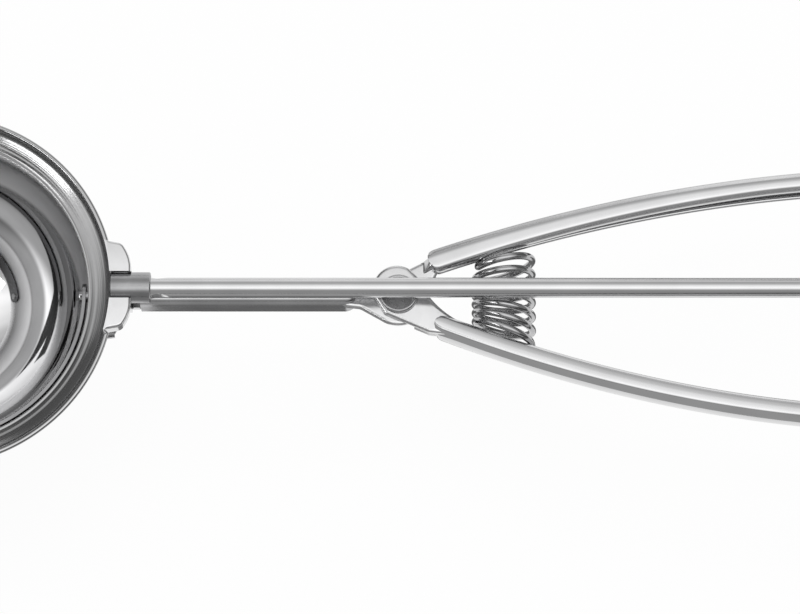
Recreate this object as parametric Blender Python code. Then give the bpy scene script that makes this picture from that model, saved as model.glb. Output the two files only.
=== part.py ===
"""Portion scoop: a spun bowl on a rod, two squeeze handles, a coil spring and a geared bowl wiper.

Metres, +Z up. +X runs from the bowl to the handle ends, and the bowl opens towards +Z.
The pieces are placed from three empties: the scoop's own, at the middle of the bowl at the
height of the rod, the handle hinge, and the wiper's axis.
"""

import math

import bmesh
import bpy
from mathutils import Vector

# Overall size and the clearance between pieces
OVERALL_LENGTH = 0.238
GAP = 0.0003

# Bowl
BOWL_RADIUS = 0.031
BOWL_SHEET = 0.0008
LEDGE_DROP = 0.0035
LEDGE_WIDTH = 0.0014
FLARE_WIDTH = 0.0041
RIM_DROP = 0.001
RIM_BEAD = 0.00055
BOWL_STEPS = 64
CUP_STEPS = 10

# Rod and ferrule
ROD_RADIUS = 0.002
ROD_INSET = 0.0115
ROD_FLAT_LENGTH = 0.0032
ROD_FLAT_DEPTH = 0.00035
FERRULE_RADIUS = 0.0031
FERRULE_LENGTH = 0.0081
FERRULE_LAP = 0.0009
FERRULE_PLUG = 0.0012

# Bracket
BRACKET_SHEET = 0.0008
BRACKET_TOP = 0.0028
BRACKET_LAP = 0.0013
BRACKET_REACH = 0.0033
BRACKET_SHOULDER = 0.0036
BRACKET_SETBACK = 0.0019
BRACKET_HALF_WIDTH = 0.0093
BRACKET_END_TAPER = 0.0007
BRACKET_CORNER_CUT = 0.0007
WEB_HALF = 0.0043
WEB_FOOT_HALF = 0.003

# Wiper and its drive
BLADE_WIDTH = 0.005
BLADE_SHEET = 0.0008
BLADE_CLEARANCE = 0.0004
BLADE_END_DEGREES = (12, 35, 60, 80)
SHAFT_RADIUS = 0.0012
SHAFT_NECK_RADIUS = 0.0009
SHAFT_PROUD = 0.0008
SHAFT_EDGE = 0.0002
SHAFT_WASHER = 0.0006
BUSH_WALL = 0.0005
BUSH_FLANGE = 0.0006
BUSH_LIP = 0.00055
PIN_HEAD_RADIUS = 0.0022
PIN_HEAD_HEIGHT = 0.001
PINION_TEETH = 10
GEAR_MODULE = 0.00045
ROOT_DEPTH_RATIO = 1.25
PRESSURE_ANGLE = math.radians(25)
BACKLASH = 0.0002
RACK_ADDENDUM = 0.00038
PINION_WIDTH = 0.003
PINION_BOSS_RADIUS = 0.0019
WIPER_SWEEP = math.radians(165)

# Pivot and grips
PIVOT_REACH = 0.0568
PIVOT_Y = -0.0005
HANDLE_SHEET = 0.0009
LUG_SHEET = 0.001
RIVET_HEAD_RADIUS = 0.0039
RIVET_HEAD_HEIGHT = 0.0009
RIVET_LIP = 0.0003
RIVET_RECESS = 0.0001
RIVET_RADIUS = 0.0019
RIVET_TAIL_RADIUS = 0.0032
WASHER_RADIUS = 0.0045
WASHER_SHEET = 0.0006
CHANNEL_DEPTH = 0.0036
CHANNEL_HEIGHT = 0.0082
CHANNEL_DROP = 0.0007
CHANNEL_WRAP = math.radians(120)
HANDLE_NOSE_SPREAD = 0.0064
UPPER_END_SPREAD = 0.0239
LOWER_END_SPREAD = 0.0261
UPPER_NOSE_REACH = 0.0064
LOWER_NOSE_REACH = 0.0077
NOSE_LENGTH = 0.0022
NOSE_SHARE = 0.45
NOSE_STEPS = (0, 0.12, 0.4, 0.8, 1.2)
END_DEGREES = (35, 60, 78, 90)
HANDLE_STATIONS = 22

# Lower handle's lug, from the pivot or along the grip from its nose
LOWER_HEAD_RADIUS = 0.0049
LOWER_HEAD_X = -0.0003
LOWER_HEAD_Y = 0.0012
LOWER_HEEL_X = -0.0028
LOWER_HEEL_Y = -0.0039
LOWER_TAIL_RUN = -0.0016
LOWER_TAIL_MARGIN = 0.0025
LOWER_MERGE_RUN = 0.003
LOWER_INNER_RUN = 0.009
LOWER_INNER_MARGIN = 0.0016
LOWER_HOLLOW_X = 0.0067
LOWER_HOLLOW_Y = -0.0035
LOWER_NECK_X = 0.0047
LOWER_NECK_Y = 0.0027
SKIRT_START = 0.0065

# Upper handle's lug, from the pivot or along the grip from its nose
UPPER_SOUTH_RADIUS = 0.006
UPPER_NORTH_RADIUS = 0.0056
UPPER_SIDE_X = 0.0072
UPPER_SIDE_Y = 0.0035
UPPER_INNER_RUN = 0.002
UPPER_INNER_MARGIN = 0.0015
UPPER_OUTER_RUN = 0.0041
UPPER_OUTER_MARGIN = 0.0013
UPPER_NECK_LENGTH = 0.0018
UPPER_NECK_HALF = 0.0009
UPPER_NECK_FLARE = 0.00045
UPPER_NECK_STEPS = (0, 0.4, 0.7, 0.9, 1.1)
ARM_LAP = 0.003
ARM_FILLET = 0.001

# Forward arm
ARM_START_GAP = 0.0014
ARM_END_REACH = 0.0087
ARM_CENTRE_Y = -0.00083
ARM_WIDTH = 0.0044
ARM_DROP = 0.0006
ARM_HEIGHT = 0.004
ARM_WRAP = math.radians(100)
ARM_SLANT = 0.0004
TAB_SHEET = 0.0009
TAB_DROP = 0.0008
TAB_STEP = 0.0002
TAB_LAP = 0.004

# Rack
RACK_SHEET = 0.001
RACK_FLANGE_SHEET = 0.0008
RACK_FLANGE_HALF = 0.001
RACK_RIVET_RADIUS = 0.0005
RACK_RIVET_HEAD = 0.00075
RACK_RIVET_DOME = 0.0005

# Spring
SPRING_RADIUS = 0.0065
SPRING_WIRE = 0.0015
SPRING_TURNS = 6 + 1 / 3
SPRING_ENTRY = math.radians(30)
SPRING_MARGIN = 0.0019
SPRING_REACH = 0.0212
SPRING_POINTS = 9
SPRING_PULL = 0.0012
SPRING_LEAD = 0.0018

# Worked-out places along the scoop
CUP_OUTER = BOWL_RADIUS + BOWL_SHEET
LEDGE_RADIUS = BOWL_RADIUS + LEDGE_WIDTH
RIM_RADIUS = LEDGE_RADIUS + FLARE_WIDTH
BOWL_X = RIM_RADIUS - OVERALL_LENGTH / 2
HANDLE_END = OVERALL_LENGTH - RIM_RADIUS
BRACKET_INNER_RADIUS = RIM_RADIUS - BRACKET_LAP
BRACKET_FACE = RIM_RADIUS + BRACKET_REACH
FERRULE_START = RIM_RADIUS - FERRULE_LAP
FERRULE_END = FERRULE_START + FERRULE_LENGTH
ROD_END = HANDLE_END - ROD_INSET
PIVOT_X = RIM_RADIUS + PIVOT_REACH
UPPER_NOSE_X = PIVOT_X + UPPER_NOSE_REACH
LOWER_NOSE_X = PIVOT_X + LOWER_NOSE_REACH
ARM_START = BRACKET_FACE + ARM_START_GAP
ARM_END = PIVOT_X - ARM_END_REACH
SPRING_X = PIVOT_X + SPRING_REACH

# Worked-out wiper drive
BUSH_START = CUP_OUTER + GAP
BUSH_FLANGE_RADIUS = SHAFT_RADIUS + GAP + BUSH_WALL + BUSH_LIP
PINION_START = BUSH_START + BUSH_FLANGE + GAP
PITCH_RADIUS = GEAR_MODULE * PINION_TEETH / 2
ROOT_DEPTH = ROOT_DEPTH_RATIO * GEAR_MODULE
TOOTH_PITCH = math.pi * GEAR_MODULE
MESH_X = PINION_START + PINION_WIDTH / 2
MESH_RADIUS = PIVOT_X - MESH_X
RACK_FACE = PINION_WIDTH - 2 * GAP

# Worked-out heights, from the rod's axis
BOWL_CENTRE_DROP = LEDGE_DROP + BOWL_SHEET + BUSH_FLANGE_RADIUS + GAP / 2
ROD_HEIGHT = CUP_OUTER + BOWL_CENTRE_DROP
RACK_PITCH_Z = -BOWL_CENTRE_DROP - PITCH_RADIUS
RACK_ROOT_Z = RACK_PITCH_Z - ROOT_DEPTH
RACK_BASE_Z = RACK_ROOT_Z - RACK_SHEET
RIVET_TOP = -ROD_RADIUS - GAP
UPPER_LUG_TOP = RIVET_TOP - RIVET_HEAD_HEIGHT - GAP
LOWER_LUG_TOP = UPPER_LUG_TOP - LUG_SHEET - GAP
WASHER_TOP = LOWER_LUG_TOP - LUG_SHEET - GAP
TAIL_TOP = WASHER_TOP - WASHER_SHEET - GAP
CHANNEL_TOP = -ROD_RADIUS - CHANNEL_DROP
CHANNEL_MID = CHANNEL_TOP - CHANNEL_HEIGHT / 2
ARM_TOP = -FERRULE_RADIUS - ARM_DROP

COLOURS = {
    "polished": ((0.78, 0.78, 0.79, 1), 0.10),
    "satin": ((0.62, 0.62, 0.63, 1), 0.32),
    "wire": ((0.70, 0.70, 0.71, 1), 0.18),
    "pinion": ((0.55, 0.55, 0.56, 1), 0.38),
}


def clear_scene():
    for item in list(bpy.data.objects):
        bpy.data.objects.remove(item, do_unlink=True)


def steel(name, finish):
    colour, roughness = COLOURS[finish]
    material = bpy.data.materials.new(name)
    material.use_nodes = True
    shader = material.node_tree.nodes["Principled BSDF"]
    shader.inputs["Base Color"].default_value = colour
    shader.inputs["Metallic"].default_value = 1.0
    shader.inputs["Roughness"].default_value = roughness
    return material


def empty(name, location, parent=None):
    item = bpy.data.objects.new(name, None)
    item.location = location
    item.parent = parent
    bpy.context.collection.objects.link(item)
    return item


def finish_mesh(bm, name, parent, finish="polished", smooth=40):
    bmesh.ops.remove_doubles(bm, verts=bm.verts, dist=1e-7)
    bmesh.ops.recalc_face_normals(bm, faces=bm.faces)
    mesh = bpy.data.meshes.new(name)
    bm.to_mesh(mesh)
    bm.free()
    mesh.shade_smooth()
    mesh.set_sharp_from_angle(angle=math.radians(smooth))
    item = bpy.data.objects.new(name, mesh)
    item.parent = parent
    bpy.context.collection.objects.link(item)
    mesh.materials.append(steel(name, finish))
    return item


def turned(profile, axis, steps, centre=(0, 0, 0), closed=False):
    """Spins a profile of (radius, height) points about an axis through centre."""
    bm = bmesh.new()
    along = Vector(axis)
    side = Vector((0, 0, 1)) if abs(along.z) < 0.5 else Vector((1, 0, 0))
    points = [Vector(centre) + side * r + along * h for r, h in profile]
    verts = [bm.verts.new(point) for point in points]
    edges = [bm.edges.new(pair) for pair in zip(verts, verts[1:])]
    if closed:
        edges.append(bm.edges.new((verts[-1], verts[0])))
    sweep = {"cent": centre, "axis": axis, "angle": math.tau, "steps": steps, "use_merge": True}
    bmesh.ops.spin(bm, geom=verts + edges, **sweep)
    bmesh.ops.remove_doubles(bm, verts=bm.verts, dist=1e-7)
    return bm


def ring(inner, outer, low, high):
    return [(inner, low), (outer, low), (outer, high), (inner, high)]


def prism(outline, low, high, place):
    """Extrudes a flat outline; place turns (a, b, height) into a point."""
    bm = bmesh.new()
    base = bm.faces.new([bm.verts.new(place(a, b, low)) for a, b in outline])
    copy = bmesh.ops.extrude_face_region(bm, geom=[base])
    rise = Vector(place(0, 0, high)) - Vector(place(0, 0, low))
    verts = [item for item in copy["geom"] if isinstance(item, bmesh.types.BMVert)]
    bmesh.ops.translate(bm, verts=verts, vec=rise)
    return bm


def flat(a, b, height):
    return (a, b, height)


def along_x(a, b, height):
    return (height, a, b)


def loft(rings):
    """Joins equal closed rings of points and caps both ends."""
    bm = bmesh.new()
    loops = [[bm.verts.new(point) for point in points] for points in rings]
    for first, second in zip(loops, loops[1:]):
        for i in range(len(first)):
            j = (i + 1) % len(first)
            bm.faces.new((first[i], first[j], second[j], second[i]))
    bm.faces.new(list(reversed(loops[0])))
    bm.faces.new(loops[-1])
    return bm


def helper(bm, name, parent):
    item = finish_mesh(bm, name, parent)
    item.hide_render = True
    item.display_type = "WIRE"
    return item


def combine(item, tool, operation):
    modifier = item.modifiers.new(tool.name, "BOOLEAN")
    modifier.operation = operation
    modifier.solver = "EXACT"
    modifier.object = tool


def cut(item, bm, name):
    combine(item, helper(bm, name, item.parent), "DIFFERENCE")


def join(item, bm, name):
    combine(item, helper(bm, name, item.parent), "UNION")


def bore(item, name, radius, start, end, axis, centre=(0, 0, 0), steps=16):
    """Cuts a round hole from start to end along an axis."""
    profile = [(0, start), (radius, start), (radius, end), (0, end)]
    cut(item, turned(profile, axis, steps, centre), name)


def box(low, high):
    outline = [(low[0], low[1]), (high[0], low[1]), (high[0], high[1]), (low[0], high[1])]
    return prism(outline, low[2], high[2], flat)


def arc(centre, radius, start, end, steps):
    span = math.radians(end - start)
    angles = [math.radians(start) + span * i / steps for i in range(steps + 1)]
    return [(centre[0] + radius * math.cos(a), centre[1] + radius * math.sin(a)) for a in angles]


def quadratic(start, control, end, steps=5):
    """A smooth curve between two points, drawn towards a third."""
    points = []
    for i in range(steps + 1):
        share = i / steps
        rest = 1 - share
        points.append(tuple(a * rest ** 2 + 2 * b * rest * share + c * share ** 2
                            for a, b, c in zip(start, control, end)))
    return points


def fillet(before, corner, after, cut_length):
    """A corner of an outline, rounded over the given length of its two edges."""
    ends = []
    for neighbour in (before, after):
        run = Vector(neighbour) - Vector(corner)
        ends.append(tuple(Vector(corner) + run.normalized() * cut_length))
    return quadratic(ends[0], corner, ends[1], 3)


def cup_arc(radius, start, end):
    return arc((0, -BOWL_CENTRE_DROP), radius, start, end, CUP_STEPS)


def cove(start_radius, start_height, run, rise, last, steps=4):
    """A concave quarter that leaves level and climbs towards the rim."""
    angles = [math.radians(last) * i / steps for i in range(steps + 1)]
    return [(start_radius + run * math.sin(a), start_height + rise * (1 - math.cos(a))) for a in angles]


def bowl(parent):
    bead_centre = (RIM_RADIUS - RIM_BEAD, -RIM_DROP - RIM_BEAD)
    cove_run = RIM_RADIUS - 2 * RIM_BEAD - LEDGE_RADIUS
    cove_foot = -LEDGE_DROP + BOWL_SHEET / 4
    cove_rise = bead_centre[1] - cove_foot
    inner = cup_arc(BOWL_RADIUS, -90, 0)
    inner.append((BOWL_RADIUS, -LEDGE_DROP))
    inner += cove(LEDGE_RADIUS, cove_foot, cove_run, cove_rise, 90)
    rim = arc(bead_centre, RIM_BEAD, 150, -60, 7)
    under = cove(LEDGE_RADIUS, cove_foot - BOWL_SHEET, cove_run + BOWL_SHEET / 2, cove_rise, 75)
    outer = list(reversed(under))
    outer.append((CUP_OUTER, -LEDGE_DROP - BOWL_SHEET))
    outer += list(reversed(cup_arc(CUP_OUTER, -90, 0)))
    item = finish_mesh(turned(inner + rim + outer, (0, 0, 1), BOWL_STEPS), "bowl", parent, smooth=50)
    hole = SHAFT_RADIUS + BUSH_WALL + 2 * GAP
    middle = (0, 0, -BOWL_CENTRE_DROP)
    for side, name in ((1, "shaft_hole"), (-1, "pin_hole")):
        bore(item, name, hole, side * BOWL_RADIUS / 2, side * RIM_RADIUS, (1, 0, 0), middle)
    return item


def bracket_plan(inset, inner_radius):
    """The bracket from above: a crescent over the rim, with a wing on each side."""
    face = BRACKET_FACE - inset
    corner = (face - BRACKET_SETBACK, BRACKET_HALF_WIDTH - BRACKET_END_TAPER - inset)
    tip_y = BRACKET_HALF_WIDTH - inset
    tip = (math.sqrt(BRACKET_INNER_RADIUS ** 2 - tip_y ** 2), tip_y)
    start = math.degrees(math.asin(tip_y / BRACKET_INNER_RADIUS))
    edge = quadratic((face, BRACKET_SHOULDER), (face, (BRACKET_SHOULDER + corner[1]) / 2), corner, 4)
    upper = edge[:-1] + fillet(edge[-2], corner, tip, BRACKET_CORNER_CUT) + [tip]
    crescent = arc((0, 0), inner_radius, start, -start, 10)
    lower = [(x, -y) for x, y in reversed(upper)]
    return upper + crescent[1:-1] + lower


def bracket(parent):
    foot = -RIM_DROP + GAP
    plan = bracket_plan(0, BRACKET_INNER_RADIUS)
    item = finish_mesh(prism(plan, foot, BRACKET_TOP, flat), "bracket", parent, smooth=30)
    hollow = bracket_plan(BRACKET_SHEET, BRACKET_INNER_RADIUS - BRACKET_SHEET)
    cut(item, prism(hollow, foot - BRACKET_SHEET, BRACKET_TOP - BRACKET_SHEET, flat), "bracket_hollow")
    web_foot = RACK_ROOT_Z + GAP
    knee = -FERRULE_RADIUS - BRACKET_SHEET
    web = [(WEB_HALF, BRACKET_TOP - GAP), (WEB_HALF, foot), (WEB_FOOT_HALF, knee - BRACKET_SHEET)]
    web += [(WEB_FOOT_HALF, web_foot + BRACKET_SHEET), (WEB_FOOT_HALF - BRACKET_SHEET, web_foot)]
    web += [(-y, z) for y, z in reversed(web)]
    web_face = BRACKET_FACE - BRACKET_SHEET / 16
    join(item, prism(web, BRACKET_FACE - BRACKET_SHEET, web_face, along_x), "bracket_web")
    tube = FERRULE_RADIUS + GAP
    beyond = BRACKET_FACE + BRACKET_SHEET
    for side, name in ((1, "north_cheek"), (-1, "south_cheek")):
        ys = sorted((side * tube / 2, side * (tube + BRACKET_SHEET)))
        low = (BRACKET_INNER_RADIUS, ys[0], foot + BRACKET_SHEET / 16)
        high = (BRACKET_FACE - BRACKET_SHEET / 2, ys[1], BRACKET_TOP - BRACKET_SHEET / 2)
        join(item, box(low, high), name)
    bore(item, "ferrule_gap", tube, BOWL_RADIUS, beyond, (1, 0, 0), steps=32)
    slot = math.sqrt(tube ** 2 - (BRACKET_TOP - BRACKET_SHEET) ** 2)
    cut(item, box((BOWL_RADIUS, -slot, 0), (beyond, slot, BRACKET_TOP + GAP)), "bracket_slot")
    bearing = SHAFT_NECK_RADIUS + GAP
    middle = (0, 0, -BOWL_CENTRE_DROP)
    bore(item, "web_bearing", bearing, BRACKET_FACE - 2 * BRACKET_SHEET, beyond, (1, 0, 0), middle)
    return item


def ferrule(parent):
    inner = ROD_RADIUS + GAP
    edge = FERRULE_RADIUS / 12
    wall = FERRULE_START + FERRULE_PLUG
    profile = [(0, FERRULE_START), (FERRULE_RADIUS, FERRULE_START), (FERRULE_RADIUS, FERRULE_END - edge)]
    profile += [(FERRULE_RADIUS - edge, FERRULE_END), (inner, FERRULE_END), (inner, wall), (0, wall)]
    item = finish_mesh(turned(profile, (1, 0, 0), 32), "ferrule", parent, "satin")
    reach = RIM_RADIUS + GAP
    low = (FERRULE_START - BOWL_SHEET, -2 * FERRULE_RADIUS, -2 * FERRULE_RADIUS)
    cut(item, box(low, (reach, 2 * FERRULE_RADIUS, -RIM_DROP + GAP)), "rim_notch")
    return item


def rod(parent):
    start = FERRULE_START + FERRULE_PLUG + GAP
    tip = [(ROD_END - ROD_RADIUS * (1 - math.sin(a)), ROD_RADIUS * math.cos(a))
           for a in [math.radians(d) for d in (0, 30, 55, 75)]]
    profile = [(0, start), (ROD_RADIUS, start)] + [(r, x) for x, r in tip] + [(0, ROD_END)]
    item = finish_mesh(turned(profile, (1, 0, 0), 24), "rod", parent)
    near = ROD_RADIUS - ROD_FLAT_DEPTH
    far = 2 * ROD_RADIUS
    flat_start = FERRULE_END + GAP
    flat_end = flat_start + ROD_FLAT_LENGTH
    cut(item, box((flat_start, near, -far), (flat_end, far, far)), "rod_flat_north")
    cut(item, box((flat_start, -far, -far), (flat_end, -near, far)), "rod_flat_south")
    return item


def channel_section(semi_depth, semi_width, wrap, sheet, steps=12):
    """A curled channel: (depth, across) points down its outside and back up its inside."""
    angles = [-wrap + 2 * wrap * i / steps for i in range(steps + 1)]
    outside = [(semi_depth * (1 - math.cos(a)), semi_width * math.sin(a)) for a in angles]
    inside = [(semi_depth - (semi_depth - sheet) * math.cos(a), (semi_width - sheet) * math.sin(a))
              for a in reversed(angles)]
    return outside + inside


def handle_y(x, nose_x, end_spread):
    """Spread of a handle's centre line from the middle: a bow that ends level with the rod."""
    share = (HANDLE_END - x) / (HANDLE_END - nose_x)
    return end_spread - (end_spread - HANDLE_NOSE_SPREAD) * share ** 2


def handle_slope(x, nose_x, end_spread):
    length = HANDLE_END - nose_x
    return 2 * (end_spread - HANDLE_NOSE_SPREAD) * (HANDLE_END - x) / length ** 2


def nose_scale(distance):
    share = min(1.0, max(0.0, distance / NOSE_LENGTH))
    return NOSE_SHARE + (1 - NOSE_SHARE) * math.sqrt(1 - (1 - share) ** 2)


def grip_ring(side, x, nose_x, end_spread, section, scale, shift):
    """A section of (depth, across) points, set square across the grip at x."""
    inward = Vector((handle_slope(x, nose_x, end_spread), -1)).normalized()
    y = handle_y(x, nose_x, end_spread)
    middle = CHANNEL_TOP - CHANNEL_HEIGHT / 2 * scale
    points = []
    for depth, across in section:
        offset = depth - CHANNEL_DEPTH * scale / 2
        place = (x + inward.x * offset, side * (y + inward.y * offset), middle + across)
        points.append(Vector(place) + shift)
    return points


def handle_channel(side, nose_x, end_spread, shift):
    """The grip's channel: its back faces outwards and its curled edges face the rod."""
    depth_radius = CHANNEL_DEPTH / (1 - math.cos(CHANNEL_WRAP))
    length = HANDLE_END - nose_x - NOSE_LENGTH
    shares = [i / HANDLE_STATIONS for i in range(HANDLE_STATIONS + 1)]
    runs = [length * (share ** 2 + 2 * share) / 3 for share in shares]
    runs += [length + NOSE_LENGTH * math.sin(math.radians(degrees)) for degrees in END_DEGREES]
    rings = []
    for run in runs:
        x = nose_x + run
        scale = min(nose_scale(run), nose_scale(HANDLE_END - x))
        sheet = HANDLE_SHEET * min(1, scale + NOSE_SHARE / 3)
        half = CHANNEL_HEIGHT / 2 * scale
        section = channel_section(depth_radius * scale, half, CHANNEL_WRAP, sheet)
        rings.append(grip_ring(side, x, nose_x, end_spread, section, scale, shift))
    return loft(rings)


def handle_nose(side, nose_x, end_spread, shift, far=False):
    """A closed end of the channel, rounded off inside the sheet's thickness."""
    depth_radius = CHANNEL_DEPTH / (1 - math.cos(CHANNEL_WRAP))
    inset = HANDLE_SHEET / 3
    rings = []
    for share in NOSE_STEPS:
        run = NOSE_LENGTH * share + inset
        x = HANDLE_END - run if far else nose_x + run
        scale = nose_scale(NOSE_LENGTH * share)
        section = []
        for i in range(13):
            angle = CHANNEL_WRAP * (i / 6 - 1)
            depth = inset + (depth_radius * scale - inset) * (1 - math.cos(angle))
            section.append((depth, (CHANNEL_HEIGHT / 2 * scale - inset) * math.sin(angle)))
        rings.append(grip_ring(side, x, nose_x, end_spread, section, scale, shift))
    return loft(rings)


def upper_neck(shift):
    """The hollow rise from the upper lug's plate to the top of the grip's nose."""
    lug_middle = LOWER_LUG_TOP - LUG_SHEET / 2
    nose_half = CHANNEL_HEIGHT / 2 * NOSE_SHARE
    nose_middle = CHANNEL_TOP - nose_half
    rings = []
    for share in UPPER_NECK_STEPS:
        x = UPPER_NOSE_X - UPPER_NECK_LENGTH * (1 - share)
        rise = share ** 2
        half = LUG_SHEET / 3 * (1 - rise) + nose_half * rise
        width = UPPER_NECK_HALF + UPPER_NECK_FLARE * share
        middle = lug_middle + (nose_middle - lug_middle) * rise
        y = handle_y(x, UPPER_NOSE_X, UPPER_END_SPREAD)
        angles = [math.tau * i / 12 for i in range(12)]
        centre = Vector((x, y, middle)) + shift
        rings.append([centre + Vector((0, width * math.cos(a), half * math.sin(a))) for a in angles])
    return loft(rings)


def from_pivot(x, y):
    return (PIVOT_X + x, PIVOT_Y + y)


def beside_grip(side, run, margin):
    """A place beside a grip's centre line: run along it from the nose, margin outwards."""
    lower = (LOWER_NOSE_X, LOWER_END_SPREAD)
    nose_x, end_spread = (UPPER_NOSE_X, UPPER_END_SPREAD) if side > 0 else lower
    return (nose_x + run, side * (handle_y(nose_x + run, nose_x, end_spread) + margin))


def lower_lug_edge():
    """The lower lug's outer edge: heel, tail by the grip's nose and the place where it meets the grip."""
    merge = beside_grip(-1, LOWER_MERGE_RUN, CHANNEL_DEPTH / 2 - HANDLE_SHEET / 2)
    tail = beside_grip(-1, LOWER_TAIL_RUN, LOWER_TAIL_MARGIN)
    return [from_pivot(LOWER_HEEL_X, LOWER_HEEL_Y), tail, merge]


def lower_lug_outline():
    """A round head over the pivot, a straight outer edge and a hollow inner one to the grip."""
    head = arc(from_pivot(LOWER_HEAD_X, LOWER_HEAD_Y), LOWER_HEAD_RADIUS, 62, 200, 8)
    inner_end = beside_grip(-1, LOWER_INNER_RUN, -LOWER_INNER_MARGIN)
    hollow = from_pivot(LOWER_HOLLOW_X, LOWER_HOLLOW_Y)
    inner = quadratic(inner_end, hollow, from_pivot(LOWER_NECK_X, LOWER_NECK_Y))
    return head + lower_lug_edge() + inner


def skirt_outline():
    """The strip along the lower lug's outer edge that turns down to the grip."""
    start, tail, merge = [Vector(point) for point in lower_lug_edge()]
    along = (tail - start).normalized()
    inward = Vector((-along.y, along.x))
    first = start + along * SKIRT_START + inward * LUG_SHEET / 16
    last = tail + inward * LUG_SHEET / 16
    inner = inward * LUG_SHEET
    return [first, last, merge, merge + Vector((0, LUG_SHEET)), last + inner, first + inner]


def lower_handle(parent):
    """Fixed to the rod at the pivot rivet."""
    bm = handle_channel(-1, LOWER_NOSE_X, LOWER_END_SPREAD, Vector((0, 0, 0)))
    item = finish_mesh(bm, "lower_handle", parent, smooth=35)
    for far, name in ((False, "lower_nose"), (True, "lower_end")):
        join(item, handle_nose(-1, LOWER_NOSE_X, LOWER_END_SPREAD, Vector((0, 0, 0)), far), name)
    lug = prism(lower_lug_outline(), UPPER_LUG_TOP - LUG_SHEET, UPPER_LUG_TOP, flat)
    join(item, lug, "lower_lug")
    join(item, prism(skirt_outline(), CHANNEL_MID, UPPER_LUG_TOP - LUG_SHEET / 3, flat), "lower_skirt")
    hole = RIVET_RADIUS + GAP
    bore(item, "lower_lug_hole", hole, LOWER_LUG_TOP, RIVET_TOP, (0, 0, 1), (PIVOT_X, PIVOT_Y, 0), 24)
    return item


def upper_lug_outline():
    """From the arm's end round the pivot to the grip's nose."""
    pivot = from_pivot(0, 0)
    neck = ARM_WIDTH / 2 - HANDLE_SHEET / 2
    grip = [from_pivot(UPPER_SIDE_X, UPPER_SIDE_Y), beside_grip(1, UPPER_INNER_RUN, -UPPER_INNER_MARGIN)]
    grip += [beside_grip(1, UPPER_OUTER_RUN, UPPER_OUTER_MARGIN), beside_grip(1, -GAP, -GAP)]
    arm = [(ARM_END - ARM_LAP, ARM_CENTRE_Y + neck), (ARM_END - ARM_LAP, ARM_CENTRE_Y - neck)]
    arm.append((ARM_END + ARM_FILLET, ARM_CENTRE_Y - ARM_WIDTH / 2))
    south = arc(pivot, UPPER_SOUTH_RADIUS, 236, 318, 6)
    north = arc(pivot, UPPER_NORTH_RADIUS, 62, 150, 6)
    outline = south + grip + north + arm
    return [(x - PIVOT_X, y - PIVOT_Y) for x, y in outline]


def arm_channel():
    """The forward arm: a channel that opens downwards and ends in a rounded nose."""
    depth_radius = ARM_HEIGHT / (1 - math.cos(ARM_WRAP))
    stations = [ARM_START, (ARM_START + ARM_END) / 2]
    stations += [ARM_END - NOSE_LENGTH * (1 - math.sin(math.radians(d))) for d in (0, 25, 45, 62, 78, 88)]
    rings = []
    for x in stations:
        scale = nose_scale(ARM_END - x)
        sheet = HANDLE_SHEET * min(1, scale + NOSE_SHARE / 3)
        section = channel_section(depth_radius * scale, ARM_WIDTH / 2 * scale, ARM_WRAP, sheet)
        slant = ARM_SLANT if x == ARM_START else 0
        base = ARM_TOP - ARM_HEIGHT * (1 - scale) / 2
        rings.append([Vector((x - PIVOT_X - slant * across / ARM_WIDTH * 2,
                              ARM_CENTRE_Y - PIVOT_Y + across, base - depth)) for depth, across in section])
    return loft(rings)


def tab_face():
    """Where the arm's tab turns down, just outside the bracket's web."""
    return BRACKET_FACE + GAP - PIVOT_X


def upper_handle(hinge):
    """One stamping: grip, lug and forward arm, turning on the pivot rivet."""
    shift = Vector((-PIVOT_X, -PIVOT_Y, 0))
    bm = handle_channel(1, UPPER_NOSE_X, UPPER_END_SPREAD, shift)
    item = finish_mesh(bm, "upper_handle", hinge, smooth=35)
    for far, name in ((False, "upper_nose"), (True, "upper_end")):
        join(item, handle_nose(1, UPPER_NOSE_X, UPPER_END_SPREAD, shift, far), name)
    join(item, upper_neck(shift), "upper_neck")
    join(item, prism(upper_lug_outline(), LOWER_LUG_TOP - LUG_SHEET, LOWER_LUG_TOP, flat), "upper_lug")
    join(item, arm_channel(), "forward_arm")
    middle = ARM_CENTRE_Y - PIVOT_Y
    face = tab_face()
    top = ARM_TOP - TAB_DROP
    end = ARM_START - PIVOT_X
    half = ARM_WIDTH / 2
    neck = half - HANDLE_SHEET / 2
    step = end + TAB_STEP
    lap = end + TAB_LAP
    tab = [(face, middle - half), (step, middle - half), (step, middle - neck), (lap, middle - neck)]
    tab += [(lap, middle + neck), (step, middle + neck), (step, middle + half), (face, middle + half)]
    join(item, prism(tab, top - TAB_SHEET, top, flat), "arm_tab")
    low = RACK_ROOT_Z + GAP
    wall = [(middle - half, top - TAB_SHEET / 2), (middle + half, top - TAB_SHEET / 2)]
    wall += [(middle + RACK_FLANGE_HALF, low), (middle - RACK_FLANGE_HALF, low)]
    join(item, prism(wall, face + TAB_SHEET / 16, face + TAB_SHEET, along_x), "arm_downturn")
    bore(item, "upper_lug_hole", RIVET_RADIUS + GAP, TAIL_TOP, UPPER_LUG_TOP, (0, 0, 1), steps=24)
    for height, name in zip(rack_rivet_heights(), ("tab_hole_high", "tab_hole_low")):
        centre = (0, middle, height)
        hole = RACK_RIVET_RADIUS + GAP
        bore(item, name, hole, face - TAB_SHEET, face + 2 * TAB_SHEET, (1, 0, 0), centre, 12)
    return item


def rack_rivet_heights():
    low = RACK_ROOT_Z + GAP + RACK_RIVET_RADIUS + 2 * GAP
    return (low + 2 * RACK_RIVET_HEAD + GAP, low)


def rack_point(arc_length, radius, height):
    """A place on the rack, by arc length from the mesh at the pitch radius."""
    angle = arc_length / MESH_RADIUS + math.atan2(-PIVOT_Y, MESH_RADIUS)
    return Vector((-radius * math.cos(angle), radius * math.sin(angle), height))


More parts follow.
